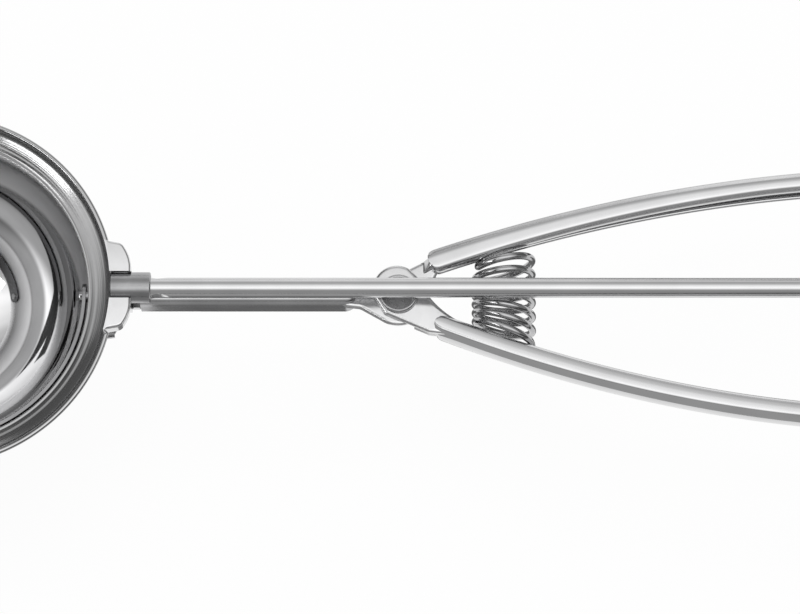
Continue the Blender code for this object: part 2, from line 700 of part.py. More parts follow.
def rack_teeth():
    """The toothed band, as radial sections from one end of the teeth to the other."""
    half_root = TOOTH_PITCH / 4 - BACKLASH / 4 + (RACK_PITCH_Z - RACK_ROOT_Z) * math.tan(PRESSURE_ANGLE)
    half_tip = TOOTH_PITCH / 4 - BACKLASH / 4 - RACK_ADDENDUM * math.tan(PRESSURE_ANGLE)
    tip = RACK_PITCH_Z + RACK_ADDENDUM
    travel = WIPER_SWEEP * PITCH_RADIUS
    count = math.ceil(travel / TOOTH_PITCH) + 2
    start = TOOTH_PITCH * (2 - count)
    low = start - half_root - GAP
    outline = [(low, RACK_ROOT_Z)]
    for i in range(count):
        centre = start + TOOTH_PITCH * i
        outline += [(centre - half_root, RACK_ROOT_Z), (centre - half_tip, tip)]
        outline += [(centre + half_tip, tip), (centre + half_root, RACK_ROOT_Z)]
    high = start + TOOTH_PITCH * (count - 1) + half_root + GAP
    outline.append((high, RACK_ROOT_Z))
    inner = MESH_RADIUS - RACK_FACE / 2
    outer = MESH_RADIUS + RACK_FACE / 2
    rings = [[rack_point(s, inner, RACK_BASE_Z), rack_point(s, outer, RACK_BASE_Z),
              rack_point(s, outer, z), rack_point(s, inner, z)] for s, z in outline]
    bm = loft(rings)
    bmesh.ops.triangulate(bm, faces=bm.faces)
    return bm, low, high


def rack(hinge):
    """Radial teeth on top of a sector plate that reaches under the pinion."""
    teeth, start, end = rack_teeth()
    item = finish_mesh(teeth, "rack", hinge, "satin", smooth=20)
    middle = ARM_CENTRE_Y - PIVOT_Y
    flange = tab_face() + TAB_SHEET + GAP
    inner = MESH_RADIUS - RACK_FACE / 2
    low_corner = rack_point(start, inner + GAP, 0)
    high_corner = rack_point(end, inner + GAP, 0)
    tooth_low = rack_point(start, inner + RACK_FACE / 4, 0)
    tooth_high = rack_point(end, inner + RACK_FACE / 4, 0)
    neck = tab_face() - BRACKET_SHEET
    plate = [(tooth_low.x, tooth_low.y + GAP), (low_corner.x, low_corner.y + GAP)]
    plate += [(neck, middle - RACK_FLANGE_HALF), (flange + RACK_FLANGE_SHEET, middle - RACK_FLANGE_HALF)]
    plate += [(flange + RACK_FLANGE_SHEET, middle + RACK_FLANGE_HALF), (neck, middle + RACK_FLANGE_HALF)]
    plate += [(high_corner.x, high_corner.y - GAP), (tooth_high.x, tooth_high.y - GAP)]
    lift = RACK_SHEET / 16
    join(item, prism(plate, RACK_BASE_Z + lift, RACK_ROOT_Z - lift, flat), "rack_plate")
    high = rack_rivet_heights()[0] + RACK_RIVET_RADIUS + GAP
    low = (flange, middle - RACK_FLANGE_HALF + lift, RACK_BASE_Z + 2 * lift)
    corner = (flange + RACK_FLANGE_SHEET - lift, middle + RACK_FLANGE_HALF - lift, high)
    join(item, box(low, corner), "rack_flange")
    for height, name in zip(rack_rivet_heights(), ("rack_hole_high", "rack_hole_low")):
        start = flange - RACK_FLANGE_SHEET
        end = flange + 2 * RACK_FLANGE_SHEET
        bore(item, name, RACK_RIVET_RADIUS + GAP, start, end, (1, 0, 0), (0, middle, height), 12)
    return item


def rack_rivet(hinge, height, name):
    """A small rivet, flush inside the downturn, that holds the rack to the arm's tab."""
    middle = ARM_CENTRE_Y - PIVOT_Y
    start = tab_face() + GAP / 6
    seat = tab_face() + TAB_SHEET + GAP + RACK_FLANGE_SHEET + GAP / 2
    profile = [(0, start), (RACK_RIVET_RADIUS, start), (RACK_RIVET_RADIUS, seat), (RACK_RIVET_HEAD, seat)]
    profile += [(RACK_RIVET_RADIUS, seat + RACK_RIVET_DOME - GAP / 3), (0, seat + RACK_RIVET_DOME)]
    return finish_mesh(turned(profile, (1, 0, 0), 12, (0, middle, height)), name, hinge)


def pivot_rivet(parent):
    edge = RIVET_HEAD_HEIGHT / 3
    tail_end = TAIL_TOP - RIVET_HEAD_HEIGHT
    profile = [(0, tail_end), (RIVET_TAIL_RADIUS - edge, tail_end), (RIVET_TAIL_RADIUS, tail_end + edge)]
    profile += [(RIVET_TAIL_RADIUS, TAIL_TOP), (RIVET_RADIUS, TAIL_TOP)]
    seat = RIVET_TOP - RIVET_HEAD_HEIGHT
    profile += [(RIVET_RADIUS, seat), (RIVET_HEAD_RADIUS, seat), (RIVET_HEAD_RADIUS, RIVET_TOP - edge)]
    lip = RIVET_HEAD_RADIUS - edge - RIVET_LIP
    floor = RIVET_TOP - RIVET_RECESS
    profile += [(RIVET_HEAD_RADIUS - edge, RIVET_TOP), (lip, RIVET_TOP)]
    profile += [(lip - RIVET_RECESS, floor), (0, floor)]
    bm = turned(profile, (0, 0, 1), 32, (PIVOT_X, PIVOT_Y, 0))
    return finish_mesh(bm, "pivot_rivet", parent)


def pivot_washer(parent):
    profile = ring(RIVET_RADIUS + GAP, WASHER_RADIUS, WASHER_TOP - WASHER_SHEET, WASHER_TOP)
    bm = turned(profile, (0, 0, 1), 32, (PIVOT_X, PIVOT_Y, 0), closed=True)
    return finish_mesh(bm, "pivot_washer", parent, "satin")


def bush(parent, side, name):
    """A flanged bush through the cup's wall."""
    inner = SHAFT_RADIUS + GAP
    outer = inner + BUSH_WALL
    start = BOWL_RADIUS - GAP / 3
    profile = [(inner, start), (outer, start), (outer, BUSH_START), (BUSH_FLANGE_RADIUS, BUSH_START)]
    profile += [(BUSH_FLANGE_RADIUS, BUSH_START + BUSH_FLANGE), (inner, BUSH_START + BUSH_FLANGE)]
    bm = turned([(r, side * x) for r, x in profile], (1, 0, 0), 24, (0, 0, -BOWL_CENTRE_DROP), closed=True)
    return finish_mesh(bm, name, parent, "satin")


def blade_point(angle, across, radius):
    run = math.sqrt(radius ** 2 - across ** 2)
    return Vector((run * math.cos(angle), -run * math.sin(angle), across))


def wiper_blade(axis):
    """A band that follows the cup's wall from one pivot to the other, with round ends."""
    outer = BOWL_RADIUS - BLADE_CLEARANCE
    inner = outer - BLADE_SHEET
    half = BLADE_WIDTH / 2
    reach = half / outer
    rings = []
    ends = [-reach * math.cos(math.radians(d)) for d in BLADE_END_DEGREES]
    stations = ends + [math.pi * i / 30 for i in range(1, 30)] + [math.pi - a for a in reversed(ends)]
    for angle in stations:
        past = max(0.0, -angle, angle - math.pi) / reach
        width = half * math.sqrt(max(0.02, 1 - past ** 2))
        rows = [-width, 0, width]
        points = [blade_point(angle, row, outer) for row in rows]
        points += [blade_point(angle, row, inner) for row in reversed(rows)]
        rings.append(points)
    item = finish_mesh(loft(rings), "wiper_blade", axis, smooth=40)
    for side, name in ((1, "blade_shaft_hole"), (-1, "blade_pin_hole")):
        bore(item, name, SHAFT_RADIUS + GAP, side * (inner - BLADE_WIDTH / 2), side * CUP_OUTER, (1, 0, 0))
    return item


def wiper_shaft(axis):
    start = BOWL_RADIUS - BLADE_CLEARANCE - BLADE_SHEET - SHAFT_PROUD
    step = PINION_START - GAP
    end = BRACKET_FACE - GAP
    edge = SHAFT_EDGE
    profile = [(0, start), (SHAFT_RADIUS - edge, start), (SHAFT_RADIUS, start + edge), (SHAFT_RADIUS, step)]
    profile += [(SHAFT_NECK_RADIUS, step), (SHAFT_NECK_RADIUS, end), (0, end)]
    return finish_mesh(turned(profile, (1, 0, 0), 20), "wiper_shaft", axis)


def involute(angle):
    return math.tan(angle) - angle


def pinion_outline():
    base = PITCH_RADIUS * math.cos(PRESSURE_ANGLE)
    tip = PITCH_RADIUS + GEAR_MODULE
    root = PITCH_RADIUS - ROOT_DEPTH
    half = (TOOTH_PITCH / 2 - BACKLASH / 2) / (2 * PITCH_RADIUS) + involute(PRESSURE_ANGLE)
    flank = [(root, half), (base, half)]
    for share in (1 / 3, 2 / 3, 1):
        radius = base + (tip - base) * share
        flank.append((radius, half - involute(math.acos(base / radius))))
    outline = []
    for tooth in range(PINION_TEETH):
        middle = -math.pi / 2 + math.tau * (tooth + 0.5) / PINION_TEETH
        sides = [(r, middle - a) for r, a in flank] + [(r, middle + a) for r, a in reversed(flank)]
        outline += [(r * math.cos(a), r * math.sin(a)) for r, a in sides]
    return outline


def pinion(axis):
    """Ten involute teeth on a boss that runs to the bracket's web."""
    end = PINION_START + PINION_WIDTH
    bm = prism(pinion_outline(), PINION_START, end, along_x)
    item = finish_mesh(bm, "pinion", axis, "pinion", smooth=25)
    boss_end = BRACKET_FACE - BRACKET_SHEET - SHAFT_WASHER - 2 * GAP
    start = end - PINION_WIDTH / 6
    profile = [(0, start), (PINION_BOSS_RADIUS, start), (PINION_BOSS_RADIUS, boss_end), (0, boss_end)]
    join(item, turned(profile, (1, 0, 0), 20), "pinion_boss")
    bore(item, "pinion_bore", SHAFT_NECK_RADIUS + GAP, PINION_START - GAP, BRACKET_FACE, (1, 0, 0))
    return item


def shaft_washer(axis):
    high = BRACKET_FACE - BRACKET_SHEET - GAP
    profile = ring(SHAFT_NECK_RADIUS + GAP, PINION_BOSS_RADIUS + GAP, high - SHAFT_WASHER, high)
    return finish_mesh(turned(profile, (1, 0, 0), 20, closed=True), "shaft_washer", axis, "satin")


def far_pin(axis):
    """The wiper's plain pivot on the side away from the handle."""
    start = BOWL_RADIUS - BLADE_CLEARANCE - BLADE_SHEET - SHAFT_PROUD
    washer = BUSH_START + BUSH_FLANGE + GAP
    seat = washer + SHAFT_WASHER + GAP
    edge = SHAFT_EDGE
    profile = [(0, start), (SHAFT_RADIUS - edge, start), (SHAFT_RADIUS, start + edge), (SHAFT_RADIUS, seat)]
    for degrees in (0, 30, 60):
        angle = math.radians(degrees)
        profile.append((PIN_HEAD_RADIUS * math.cos(angle), seat + PIN_HEAD_HEIGHT * math.sin(angle)))
    profile.append((0, seat + PIN_HEAD_HEIGHT))
    return finish_mesh(turned([(r, -x) for r, x in profile], (1, 0, 0), 20), "far_pin", axis)


def far_washer(axis):
    low = BUSH_START + BUSH_FLANGE + GAP
    profile = ring(SHAFT_RADIUS + GAP, BUSH_FLANGE_RADIUS - GAP, low, low + SHAFT_WASHER)
    bm = turned([(r, -x) for r, x in profile], (1, 0, 0), 20, closed=True)
    return finish_mesh(bm, "far_washer", axis, "satin")


def grip_edge(x, nose_x, end_spread):
    """Spread of a grip's curled edges, which face the rod."""
    return handle_y(x, nose_x, end_spread) - CHANNEL_DEPTH / 2


def spring_lead(x, side, nose_x, end_spread):
    """Start and end of an end wire, square to the inside of the grip's back."""
    normal = Vector((handle_slope(x, nose_x, end_spread), -side, 0)).normalized()
    middle = Vector((x, side * handle_y(x, nose_x, end_spread), CHANNEL_MID - SPRING_WIRE / 2))
    wall = middle - normal * (CHANNEL_DEPTH / 2 - HANDLE_SHEET)
    return wall + normal * (GAP + SPRING_LEAD), wall + normal * GAP


def bend(start, toward, end, facing):
    """Points of a smooth bend, without its first and last."""
    first = start + toward
    second = end + facing
    points = []
    for share in (0.25, 0.5, 0.75):
        rest = 1 - share
        points.append(start * rest ** 3 + first * (3 * rest ** 2 * share)
                      + second * (3 * rest * share ** 2) + end * share ** 3)
    return points


def spring_coil():
    """Turns that fan out with the grips, so that the coil is wider apart away from the pivot."""
    radius = SPRING_RADIUS - SPRING_WIRE / 2
    centre_z = -ROD_RADIUS - GAP - SPRING_RADIUS
    count = round(SPRING_TURNS * SPRING_POINTS)
    points = []
    for i in range(count + 1):
        share = i / count
        angle = SPRING_ENTRY + math.tau * SPRING_TURNS * share
        x = SPRING_X + radius * math.cos(angle)
        low = SPRING_MARGIN - grip_edge(x, LOWER_NOSE_X, LOWER_END_SPREAD)
        high = grip_edge(x, UPPER_NOSE_X, UPPER_END_SPREAD) - SPRING_MARGIN
        points.append(Vector((x, low + (high - low) * share, centre_z + radius * math.sin(angle))))
    return points


def spring_points():
    coil = spring_coil()
    low_run = (coil[0] - coil[1]).normalized() * SPRING_PULL
    high_run = (coil[-1] - coil[-2]).normalized() * SPRING_PULL
    low_lead, low_tip = spring_lead(coil[0].x, -1, LOWER_NOSE_X, LOWER_END_SPREAD)
    high_lead, high_tip = spring_lead(coil[-1].x, 1, UPPER_NOSE_X, UPPER_END_SPREAD)
    low_facing = (low_lead - low_tip).normalized() * SPRING_PULL
    high_facing = (high_lead - high_tip).normalized() * SPRING_PULL
    entry = [low_tip, low_lead] + list(reversed(bend(coil[0], low_run, low_lead, low_facing)))
    leave = bend(coil[-1], high_run, high_lead, high_facing) + [high_lead, high_tip]
    return entry + coil + leave


def least_gap(points, wire, skip):
    """Least clear distance between parts of the wire that are not neighbours along it."""
    best = 1.0
    for i, first in enumerate(points):
        for j in range(i + skip, len(points) - 1):
            start, end = points[j], points[j + 1]
            run = end - start
            share = max(0.0, min(1.0, (first - start).dot(run) / run.length_squared))
            best = min(best, (first - start - run * share).length - wire)
    return best


def spring(parent):
    points = spring_points()
    gap = least_gap(points, SPRING_WIRE, SPRING_POINTS // 2)
    print("least gap between the spring's turns, mm:", round(gap * 1000, 3))
    curve = bpy.data.curves.new("spring", "CURVE")
    curve.dimensions = "3D"
    curve.bevel_depth = SPRING_WIRE / 2
    curve.bevel_resolution = 1
    curve.use_fill_caps = True
    line = curve.splines.new("POLY")
    line.points.add(len(points) - 1)
    for slot, point in zip(line.points, points):
        slot.co = (point.x, point.y, point.z, 1)
    item = bpy.data.objects.new("spring", curve)
    item.parent = parent
    bpy.context.collection.objects.link(item)
    curve.materials.append(steel("spring", "wire"))
    return item


def main():
    clear_scene()
    scoop = empty("scoop_origin", (BOWL_X, 0, ROD_HEIGHT))
    hinge = empty("handle_hinge", (PIVOT_X, PIVOT_Y, 0), scoop)
    axis = empty("wiper_axis", (0, 0, -BOWL_CENTRE_DROP), scoop)
    bowl(scoop)
    bracket(scoop)
    ferrule(scoop)
    rod(scoop)
    lower_handle(scoop)
    pivot_rivet(scoop)
    pivot_washer(scoop)
    bush(scoop, 1, "shaft_bush")
    bush(scoop, -1, "far_bush")
    spring(scoop)
    upper_handle(hinge)
    rack(hinge)
    for height, name in zip(rack_rivet_heights(), ("rack_rivet_high", "rack_rivet_low")):
        rack_rivet(hinge, height, name)
    wiper_blade(axis)
    wiper_shaft(axis)
    pinion(axis)
    shaft_washer(axis)
    far_pin(axis)
    far_washer(axis)


main()
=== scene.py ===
"""Portion scoop: finished steel surfaces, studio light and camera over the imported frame.

Metres, +Z up. Places are given from the scoop's own origin: x from the middle of the bowl,
z from the height of the rod. The function spot turns them into the frame's coordinates.
Only the tables whose names end in _MM are in millimetres.
"""

import math

import bmesh
import bpy
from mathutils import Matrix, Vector

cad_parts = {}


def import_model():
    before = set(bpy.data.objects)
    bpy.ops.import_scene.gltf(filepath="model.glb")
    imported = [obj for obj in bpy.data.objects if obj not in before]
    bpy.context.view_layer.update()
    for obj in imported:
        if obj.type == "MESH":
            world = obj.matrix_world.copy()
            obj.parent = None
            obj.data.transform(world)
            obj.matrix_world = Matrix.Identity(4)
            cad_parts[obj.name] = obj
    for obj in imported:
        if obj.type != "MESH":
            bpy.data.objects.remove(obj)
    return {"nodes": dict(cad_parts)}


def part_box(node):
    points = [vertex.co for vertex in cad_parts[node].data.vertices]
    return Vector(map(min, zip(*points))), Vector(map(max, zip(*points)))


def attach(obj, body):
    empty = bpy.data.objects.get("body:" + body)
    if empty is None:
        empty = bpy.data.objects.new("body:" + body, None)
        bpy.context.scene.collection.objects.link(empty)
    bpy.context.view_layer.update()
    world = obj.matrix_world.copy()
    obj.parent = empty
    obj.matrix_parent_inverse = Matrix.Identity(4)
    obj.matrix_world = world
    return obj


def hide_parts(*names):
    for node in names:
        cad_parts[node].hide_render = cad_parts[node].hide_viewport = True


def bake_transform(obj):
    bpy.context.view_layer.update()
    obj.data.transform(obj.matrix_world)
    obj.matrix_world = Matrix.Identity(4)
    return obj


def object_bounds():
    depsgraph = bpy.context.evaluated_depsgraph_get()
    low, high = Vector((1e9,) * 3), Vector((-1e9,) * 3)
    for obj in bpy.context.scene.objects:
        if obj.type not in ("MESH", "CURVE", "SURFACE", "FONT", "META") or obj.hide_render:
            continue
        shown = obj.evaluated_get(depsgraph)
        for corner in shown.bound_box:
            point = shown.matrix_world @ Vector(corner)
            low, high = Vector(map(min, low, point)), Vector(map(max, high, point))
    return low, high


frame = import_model()
CAD_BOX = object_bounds()

# Sizes read from the frame
BOWL_LOW, BOWL_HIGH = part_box("bowl")
ROD_LOW, ROD_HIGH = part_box("rod")
RIVET_LOW, RIVET_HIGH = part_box("pivot_rivet")
RIM_RADIUS = (BOWL_HIGH[1] - BOWL_LOW[1]) / 2
BOWL_X = BOWL_LOW[0] + RIM_RADIUS
ROD_RADIUS = (ROD_HIGH[1] - ROD_LOW[1]) / 2
ROD_HEIGHT = (ROD_HIGH[2] + ROD_LOW[2]) / 2
ROD_END = ROD_HIGH[0] - BOWL_X
PIVOT_X = (RIVET_LOW[0] + RIVET_HIGH[0]) / 2 - BOWL_X
PIVOT_Y = (RIVET_LOW[1] + RIVET_HIGH[1]) / 2
HANDLE_END = CAD_BOX[1][0] - BOWL_X

# Shared
GAP = 0.0003
ALONG_ROD = (1, 0, 0)
UPWARD = (0, 0, 1)
TURN_STEPS = 96
SMALL_TURN_STEPS = 48
OUTLINE_SPACING = 0.0003
STRAIGHT = math.radians(165)
LONGEST_CUT = 0.45
EDGE_FULLNESS = 0.6
EDGE_STEP = 10
BEVEL_SEGMENTS = 3
BEVEL_ANGLE = math.radians(35)

# Bowl
BOWL_RADIUS = 0.031
BOWL_SHEET = 0.0008
CUP_DROP = 0.007
LEDGE_DROP = 0.0035
LEDGE_RADIUS = 0.0324
RIM_DROP = 0.001
RIM_BEAD = 0.00055
BEAD_START = 150
BEAD_STOP = -60
BEAD_STEPS = 18
COVE_TURN = 75
BOWL_STEPS = 192
CUP_STEPS = 48

# The flare from the mouth's edge out to the rim's bead: (run, rise) from the top of the wall
FLARE_MM = ((0, -0.28), (0.05, -0.12), (0.16, -0.03), (0.3, 0), (0.42, -0.04), (0.55, -0.1), (0.7, -0.06),
            (0.9, 0.06), (1.4, 0.26), (1.6, 0.29), (1.8, 0.3), (2, 0.38), (2.75, 0.7), (2.9, 0.78),
            (3.7, 1.26), (3.9, 1.4), (4.02, 1.58), (4.2, 1.86), (4.4, 2.15))

# Rod and ferrule
ROD_SIDES = 64
ROD_TIP_DEGREES = (0, 15, 30, 45, 60, 75, 87)
ROD_FLAT_START = 0.0440
ROD_FLAT_END = 0.0472
ROD_FLAT_HALF = 0.0016
ROD_FLAT_STEPS = 16
ROD_FLAT_SKEW = 0.6
ROD_FLAT_FULLNESS = 0.7
FERRULE_RADIUS = 0.0031
FERRULE_START = 0.0356
FERRULE_END = 0.0437
FERRULE_PLUG = 0.0012
FERRULE_EDGE = 0.0002

# Bracket
BRACKET_SHEET = 0.0008
BRACKET_TOP = 0.0028
SADDLE_RADIUS = 0.0356
BRACKET_FACE = 0.0398
BRACKET_SHOULDER = 0.0036
BRACKET_SETBACK = 0.0019
BRACKET_HALF_WIDTH = 0.0093
BRACKET_END_TAPER = 0.0007
BRACKET_CORNER_CUT = 0.0007
BRACKET_CORNER_STEPS = 8
BRACKET_ARC_STEPS = 40
BRACKET_EDGE = 0.0002
WING_EDGE_WIDTH = 0.0006
WING_EDGE_DROP = 0.0007
WEB_HALF = 0.0043
WEB_FOOT_HALF = 0.003
WEB_FOOT = -0.0095125

# Wiper
BLADE_WIDTH = 0.005
BLADE_SHEET = 0.0008
BLADE_CLEARANCE = 0.0004
BLADE_ROUND = 0.00008
BLADE_STEPS = 96
BLADE_TIP_DEGREES = (8, 20, 32, 45, 58, 70, 82)
BLADE_TIP_LEAST = 0.02
BLADE_ROWS = (-1, -0.97, -0.5, 0, 0.5, 0.97, 1)
SHAFT_RADIUS = 0.0012
SHAFT_NECK_RADIUS = 0.0009

# Pivot rivet: its foot as (radius, rise) and the lip of its head as (inset, drop)
RIVET_HEAD_HEIGHT = 0.0009
RIVET_SHANK_RADIUS = 0.0019
RIVET_FOOT_RADIUS = 0.0032
RIVET_EDGE = 0.0001
RIVET_DISH = 0.0001
RIVET_FOOT_MM = ((0, 0), (2.7, 0), (3.1, 0.2), (3.2, 0.5))
RIVET_LIP_MM = ((0, 0.35), (0.06, 0.18), (0.2, 0.05), (0.3, 0), (0.42, 0), (0.6, 0.05), (0.7, 0.1))

# Grips
HANDLE_SHEET = 0.0009
LUG_SHEET = 0.001
CHANNEL_DEPTH = 0.0036
CHANNEL_HEIGHT = 0.0082
CHANNEL_TOP = -0.0027
CHANNEL_MID = CHANNEL_TOP - CHANNEL_HEIGHT / 2
HANDLE_NOSE_SPREAD = 0.0064
GRIP_DEPTH = 0.0040
GRIP_SHIFT = 0.0002
GRIP_STEPS = 90
ROUND_STEP = 6
THINNEST = 0.05
END_LENGTH = 0.0022
END_SHARE = 0.45
NOSE_DOME = 0.0004
NOSE_DOME_DEGREES = (4, 14, 28, 44, 60, 76)
NOSE_BLUNT = 0.45
NOSE_LEAST = 0.1
BLOCK_SHARES = (0, 0.04, 0.12, 0.25, 0.4, 0.6, 0.8, 1.0, 1.2)
BLOCK_HEIGHT = 0.95

# The grips' outline from the lower curl's edge round the back to the upper curl's edge:
# (depth from the back, height under the crown)
GRIP_UNDER_MM = ((4, -6.8), (3.85, -7.3), (3.5, -7.8), (3, -8.1), (2.4, -8.2), (1.7, -8.12), (1.1, -7.9),
                 (0.6, -7.3), (0.25, -6.4), (0.06, -5.3), (0, -4.1))
UPPER_TOP_MM = ((0, -3), (0, -1.8), (0.06, -1.2), (0.2, -0.8), (0.6, -0.5), (1.05, -0.18), (1.15, -0.12),
                (1.55, -0.03), (2, 0), (2.5, -0.03), (2.9, -0.11), (3.2, -0.25), (3.5, -0.5), (3.8, -0.95),
                (4, -1.5))
LOWER_TOP_MM = ((-0.3, -3.4), (-0.24, -2.6), (-0.1, -1.9), (0.12, -1.4), (0.46, -0.8), (0.72, -0.32),
                (0.86, -0.16), (1.25, -0.04), (1.9, 0), (2.5, -0.03), (3, -0.1), (3.2, -0.16), (3.38, -0.3),
                (3.7, -0.75), (4, -1.3), (4.1, -1.8))
LOWER_BACK = -0.0003
CROWN_WIDER = 0.0010
CROWN_WIDER_FROM = 0.0020
CROWN_WIDER_RAMP = 0.0006
CROWN_TAPER = 0.068

# Lugs: places from the pivot, or beside a grip as (run from its nose, margin outwards)
UPPER_LUG_TOP = -ROD_RADIUS - GAP - RIVET_HEAD_HEIGHT - GAP
LOWER_LUG_TOP = UPPER_LUG_TOP - LUG_SHEET - GAP
LUG_EDGE_WIDTH = 0.0008
LUG_EDGE_DROP = 0.0006
LOWER_HEAD = (-0.0003, 0.0012)
LOWER_HEAD_ARC = (0.0049, 62, 200, 24)
LOWER_HEEL = (-0.0028, -0.0039)
LOWER_TAIL_BESIDE = (-0.0016, 0.0025)
LOWER_MERGE_BESIDE = (0.003, CHANNEL_DEPTH / 2 - HANDLE_SHEET / 2)
LOWER_HOLLOW_BESIDE = (0.009, -0.0016)
LOWER_HOLLOW_PULL = (0.0067, -0.0035)
LOWER_HOLLOW_END = (0.0047, 0.0027)
LOWER_CORNER = 0.0012
SKIRT_START = 0.0065
UPPER_SOUTH_ARC = (0.0060, 236, 318, 18)
UPPER_NORTH_ARC = (0.0056, 74, 150, 18)
UPPER_SIDE = (0.0072, 0.0035)
UPPER_SIDE_BESIDE = ((0.002, -0.0015), (0.0041, 0.0013), (-0.0008, 0.0008))
UPPER_CORNER = 0.002

# Neck between the upper lug and its grip; its levels at the lug are shares of the lug's sheet
NECK_LENGTH = 0.0019
NECK_LAP = 0.0004
NECK_OVERRUN = 1.1
NECK_STEPS = 19
NECK_HALF = 0.0013
NECK_FLARE = 0.0002
NECK_OFFSET = 0.0007
NECK_RETURN = 0.7
NECK_FLOOR = 0.7
NECK_CEILING = 0.2
NECK_END_DROP = 0.0003
NECK_END_SINK = 0.0012
NECK_ROUND = 0.9
NECK_CORNERS = ((1, 1, 0), (-1, 1, 90), (-1, -1, 180), (1, -1, 270))
NECK_CORNER_STEPS = 6

# Forward arm: half of its outline as (across, height), and its tab
ARM_HALF_MM = ((0, 0), (0.3, -0.02), (0.6, -0.1), (0.9, -0.27), (1.1, -0.5), (1.3, -0.9), (1.6, -1.7),
               (1.9, -2.6), (2.2, -3.5), (2.2, -4))
ARM_START = 0.0412
ARM_END = 0.0846
ARM_CENTRE_Y = -0.00083
ARM_WIDTH = 0.0044
ARM_TOP = -0.0037
ARM_HEIGHT = 0.004
ARM_SLANT = 0.0004
ARM_STEPS = 20
ARM_END_STEP = 8
ARM_LAP = 0.003
ARM_SPUR = 0.001
TAB_HALF = 0.0008
TAB_DROP = 0.0008
TAB_STEP = 0.0002
TAB_LAP = 0.004
TAB_FOOT_HALF = 0.001
TAB_SLIVER = 0.00005
TAB_EDGE = 0.0002
RACK_LAP = 0.001

# Spring
SPRING_RADIUS = 0.0065
SPRING_WIRE = 0.0015
SPRING_WIRE_ROUNDNESS = 8
SPRING_TURNS = 6 + 1 / 3
SPRING_ENTRY = math.radians(30)
SPRING_MARGIN = 0.0019
SPRING_X = 0.1145
SPRING_POINTS = 48
SPRING_END_STEPS = 12
SPRING_PULL = 0.0012
SPRING_LEAD = 0.0018

# Steel tones: the darkest cloud and the lightest
POLISHED = (0.60, 0.65)
BRIGHT = (0.68, 0.74)
DULL = (0.44, 0.52)
BLADE = (0.26, 0.34)
SATIN = (0.30, 0.42)
WIRE = (0.42, 0.50)
BOWL_TONES = (0.77, 0.83)
BLUE_TINT = 0.005

# Finishes: name, tones, lowest and highest roughness, then scale, relief and stretch of the grain
EVEN_GRAIN = (1, 1, 1)
BOWL_FINISH = ("bowl_spun_painted_reflection", BOWL_TONES, (0.02, 0.05), 700, 0.02)
FINISHES = {
    "outside": ("bowl_polish", BRIGHT, (0.05, 0.12), 900, 0.05, (1, 1, 0.1)),
    "rod": ("rod_polish", POLISHED, (0.07, 0.13), 900, 0.05, (0.05, 1, 1)),
    "grip": ("grip_polish", POLISHED, (0.07, 0.15), 700, 0.16, (0.3, 1, 1)),
    "arm": ("arm_polish", DULL, (0.10, 0.22), 900, 0.20, (0.08, 1, 1)),
    "lug": ("lug_polish", BRIGHT, (0.14, 0.24), 900, 0.12, (1, 0.4, 1)),
    "rivet": ("rivet_satin", DULL, (0.24, 0.34), 1100, 0.15),
    "bracket": ("bracket_polish", BRIGHT, (0.12, 0.22), 1100, 0.10),
    "ferrule": ("ferrule_satin", SATIN, (0.16, 0.30), 1400, 0.5, (0.03, 1, 1)),
    "wire": ("spring_wire", WIRE, (0.08, 0.16), 900, 0.06),
    "blade": ("wiper_satin", BLADE, (0.16, 0.28), 900, 0.12),
    "small": ("small_parts", DULL, (0.22, 0.34), 1500, 0.15),
}
CLOUD_SCALE = 120
CLOUD_DETAIL = 3
GRAIN_DETAIL = 8
GRAIN_HEIGHT = 0.00002
NOISE_LOW = 0.3
NOISE_HIGH = 0.7

# The bowl by share of its rim radius: tone (painted reflection: a dark ring on the wall and a darker flare),
# added roughness and depth of the turning lines
BOWL_PAINTED_REFLECTION = ((0.60, 1.0), (0.67, 0.34), (0.785, 0.32), (0.80, 0.85), (0.85, 0.85), (0.86, 0.44), (1, 0.62))
BOWL_POLISH = ((0.76, 0.0), (0.80, 0.34), (0.84, 0.34), (0.86, 0.12), (0.95, 0.12), (1, 0.05))
BOWL_LINES = ((0.84, 0.0), (0.87, 1.0), (0.96, 1.0), (0.98, 0.1))
BOWL_LINE_SCALE = 140
BOWL_LINE_DETAIL = 4
BOWL_LINE_RELIEF = 0.5
BOWL_LINE_HEIGHT = 0.00005

# The small nodes that keep their CAD shape, by finish
SMALL_NODES = {
    "small": ("pivot_washer", "shaft_bush", "far_bush", "rack", "pinion", "shaft_washer", "far_washer"),
    "lug": ("rack_rivet_high", "rack_rivet_low", "far_pin"),
}

# Camera
VIEW_TILT = math.radians(14)
VIEW_WIDTH = 0.160
VIEW_DISTANCE = 1.2
VIEW_X = 0.0936
VIEW_Y = -0.0040
SENSOR_MM = 36

# Floor, sky and lamp
FLOOR_SIZE = (4, 4)
FLOOR_DROP = 0.0005
FLOOR_GREY = 0.86
FLOOR_ROUGHNESS = 0.9
FLOOR_GLOW = 0.95
SKY_LEVEL = 0.55
LAMP_OFFSET = (0, 0.5, 1.3)
LAMP_SIZE = (1.4, 0.9)
LAMP_POWER = 12

# The tent that the steel mirrors: (degrees from straight up, level) towards +Y and towards +X
TENT_RADIUS = 2.5
TENT_STRENGTH = 1.55
TENT_ACROSS = ((-90, 0.24), (-49, 0.24), (-37, 0.42), (-25, 0.85), (-13, 1), (0, 0.86), (12, 0.74), (24, 0.5),
               (37, 0.36), (51, 0.36), (66, 0.55), (83, 0.7))
TENT_ALONG = ((-90, 0.2), (-72, 0.25), (-60, 0.75), (-30, 0.9), (-15, 1), (25, 1), (40, 0.7), (54, 0.25),
              (90, 0.2))

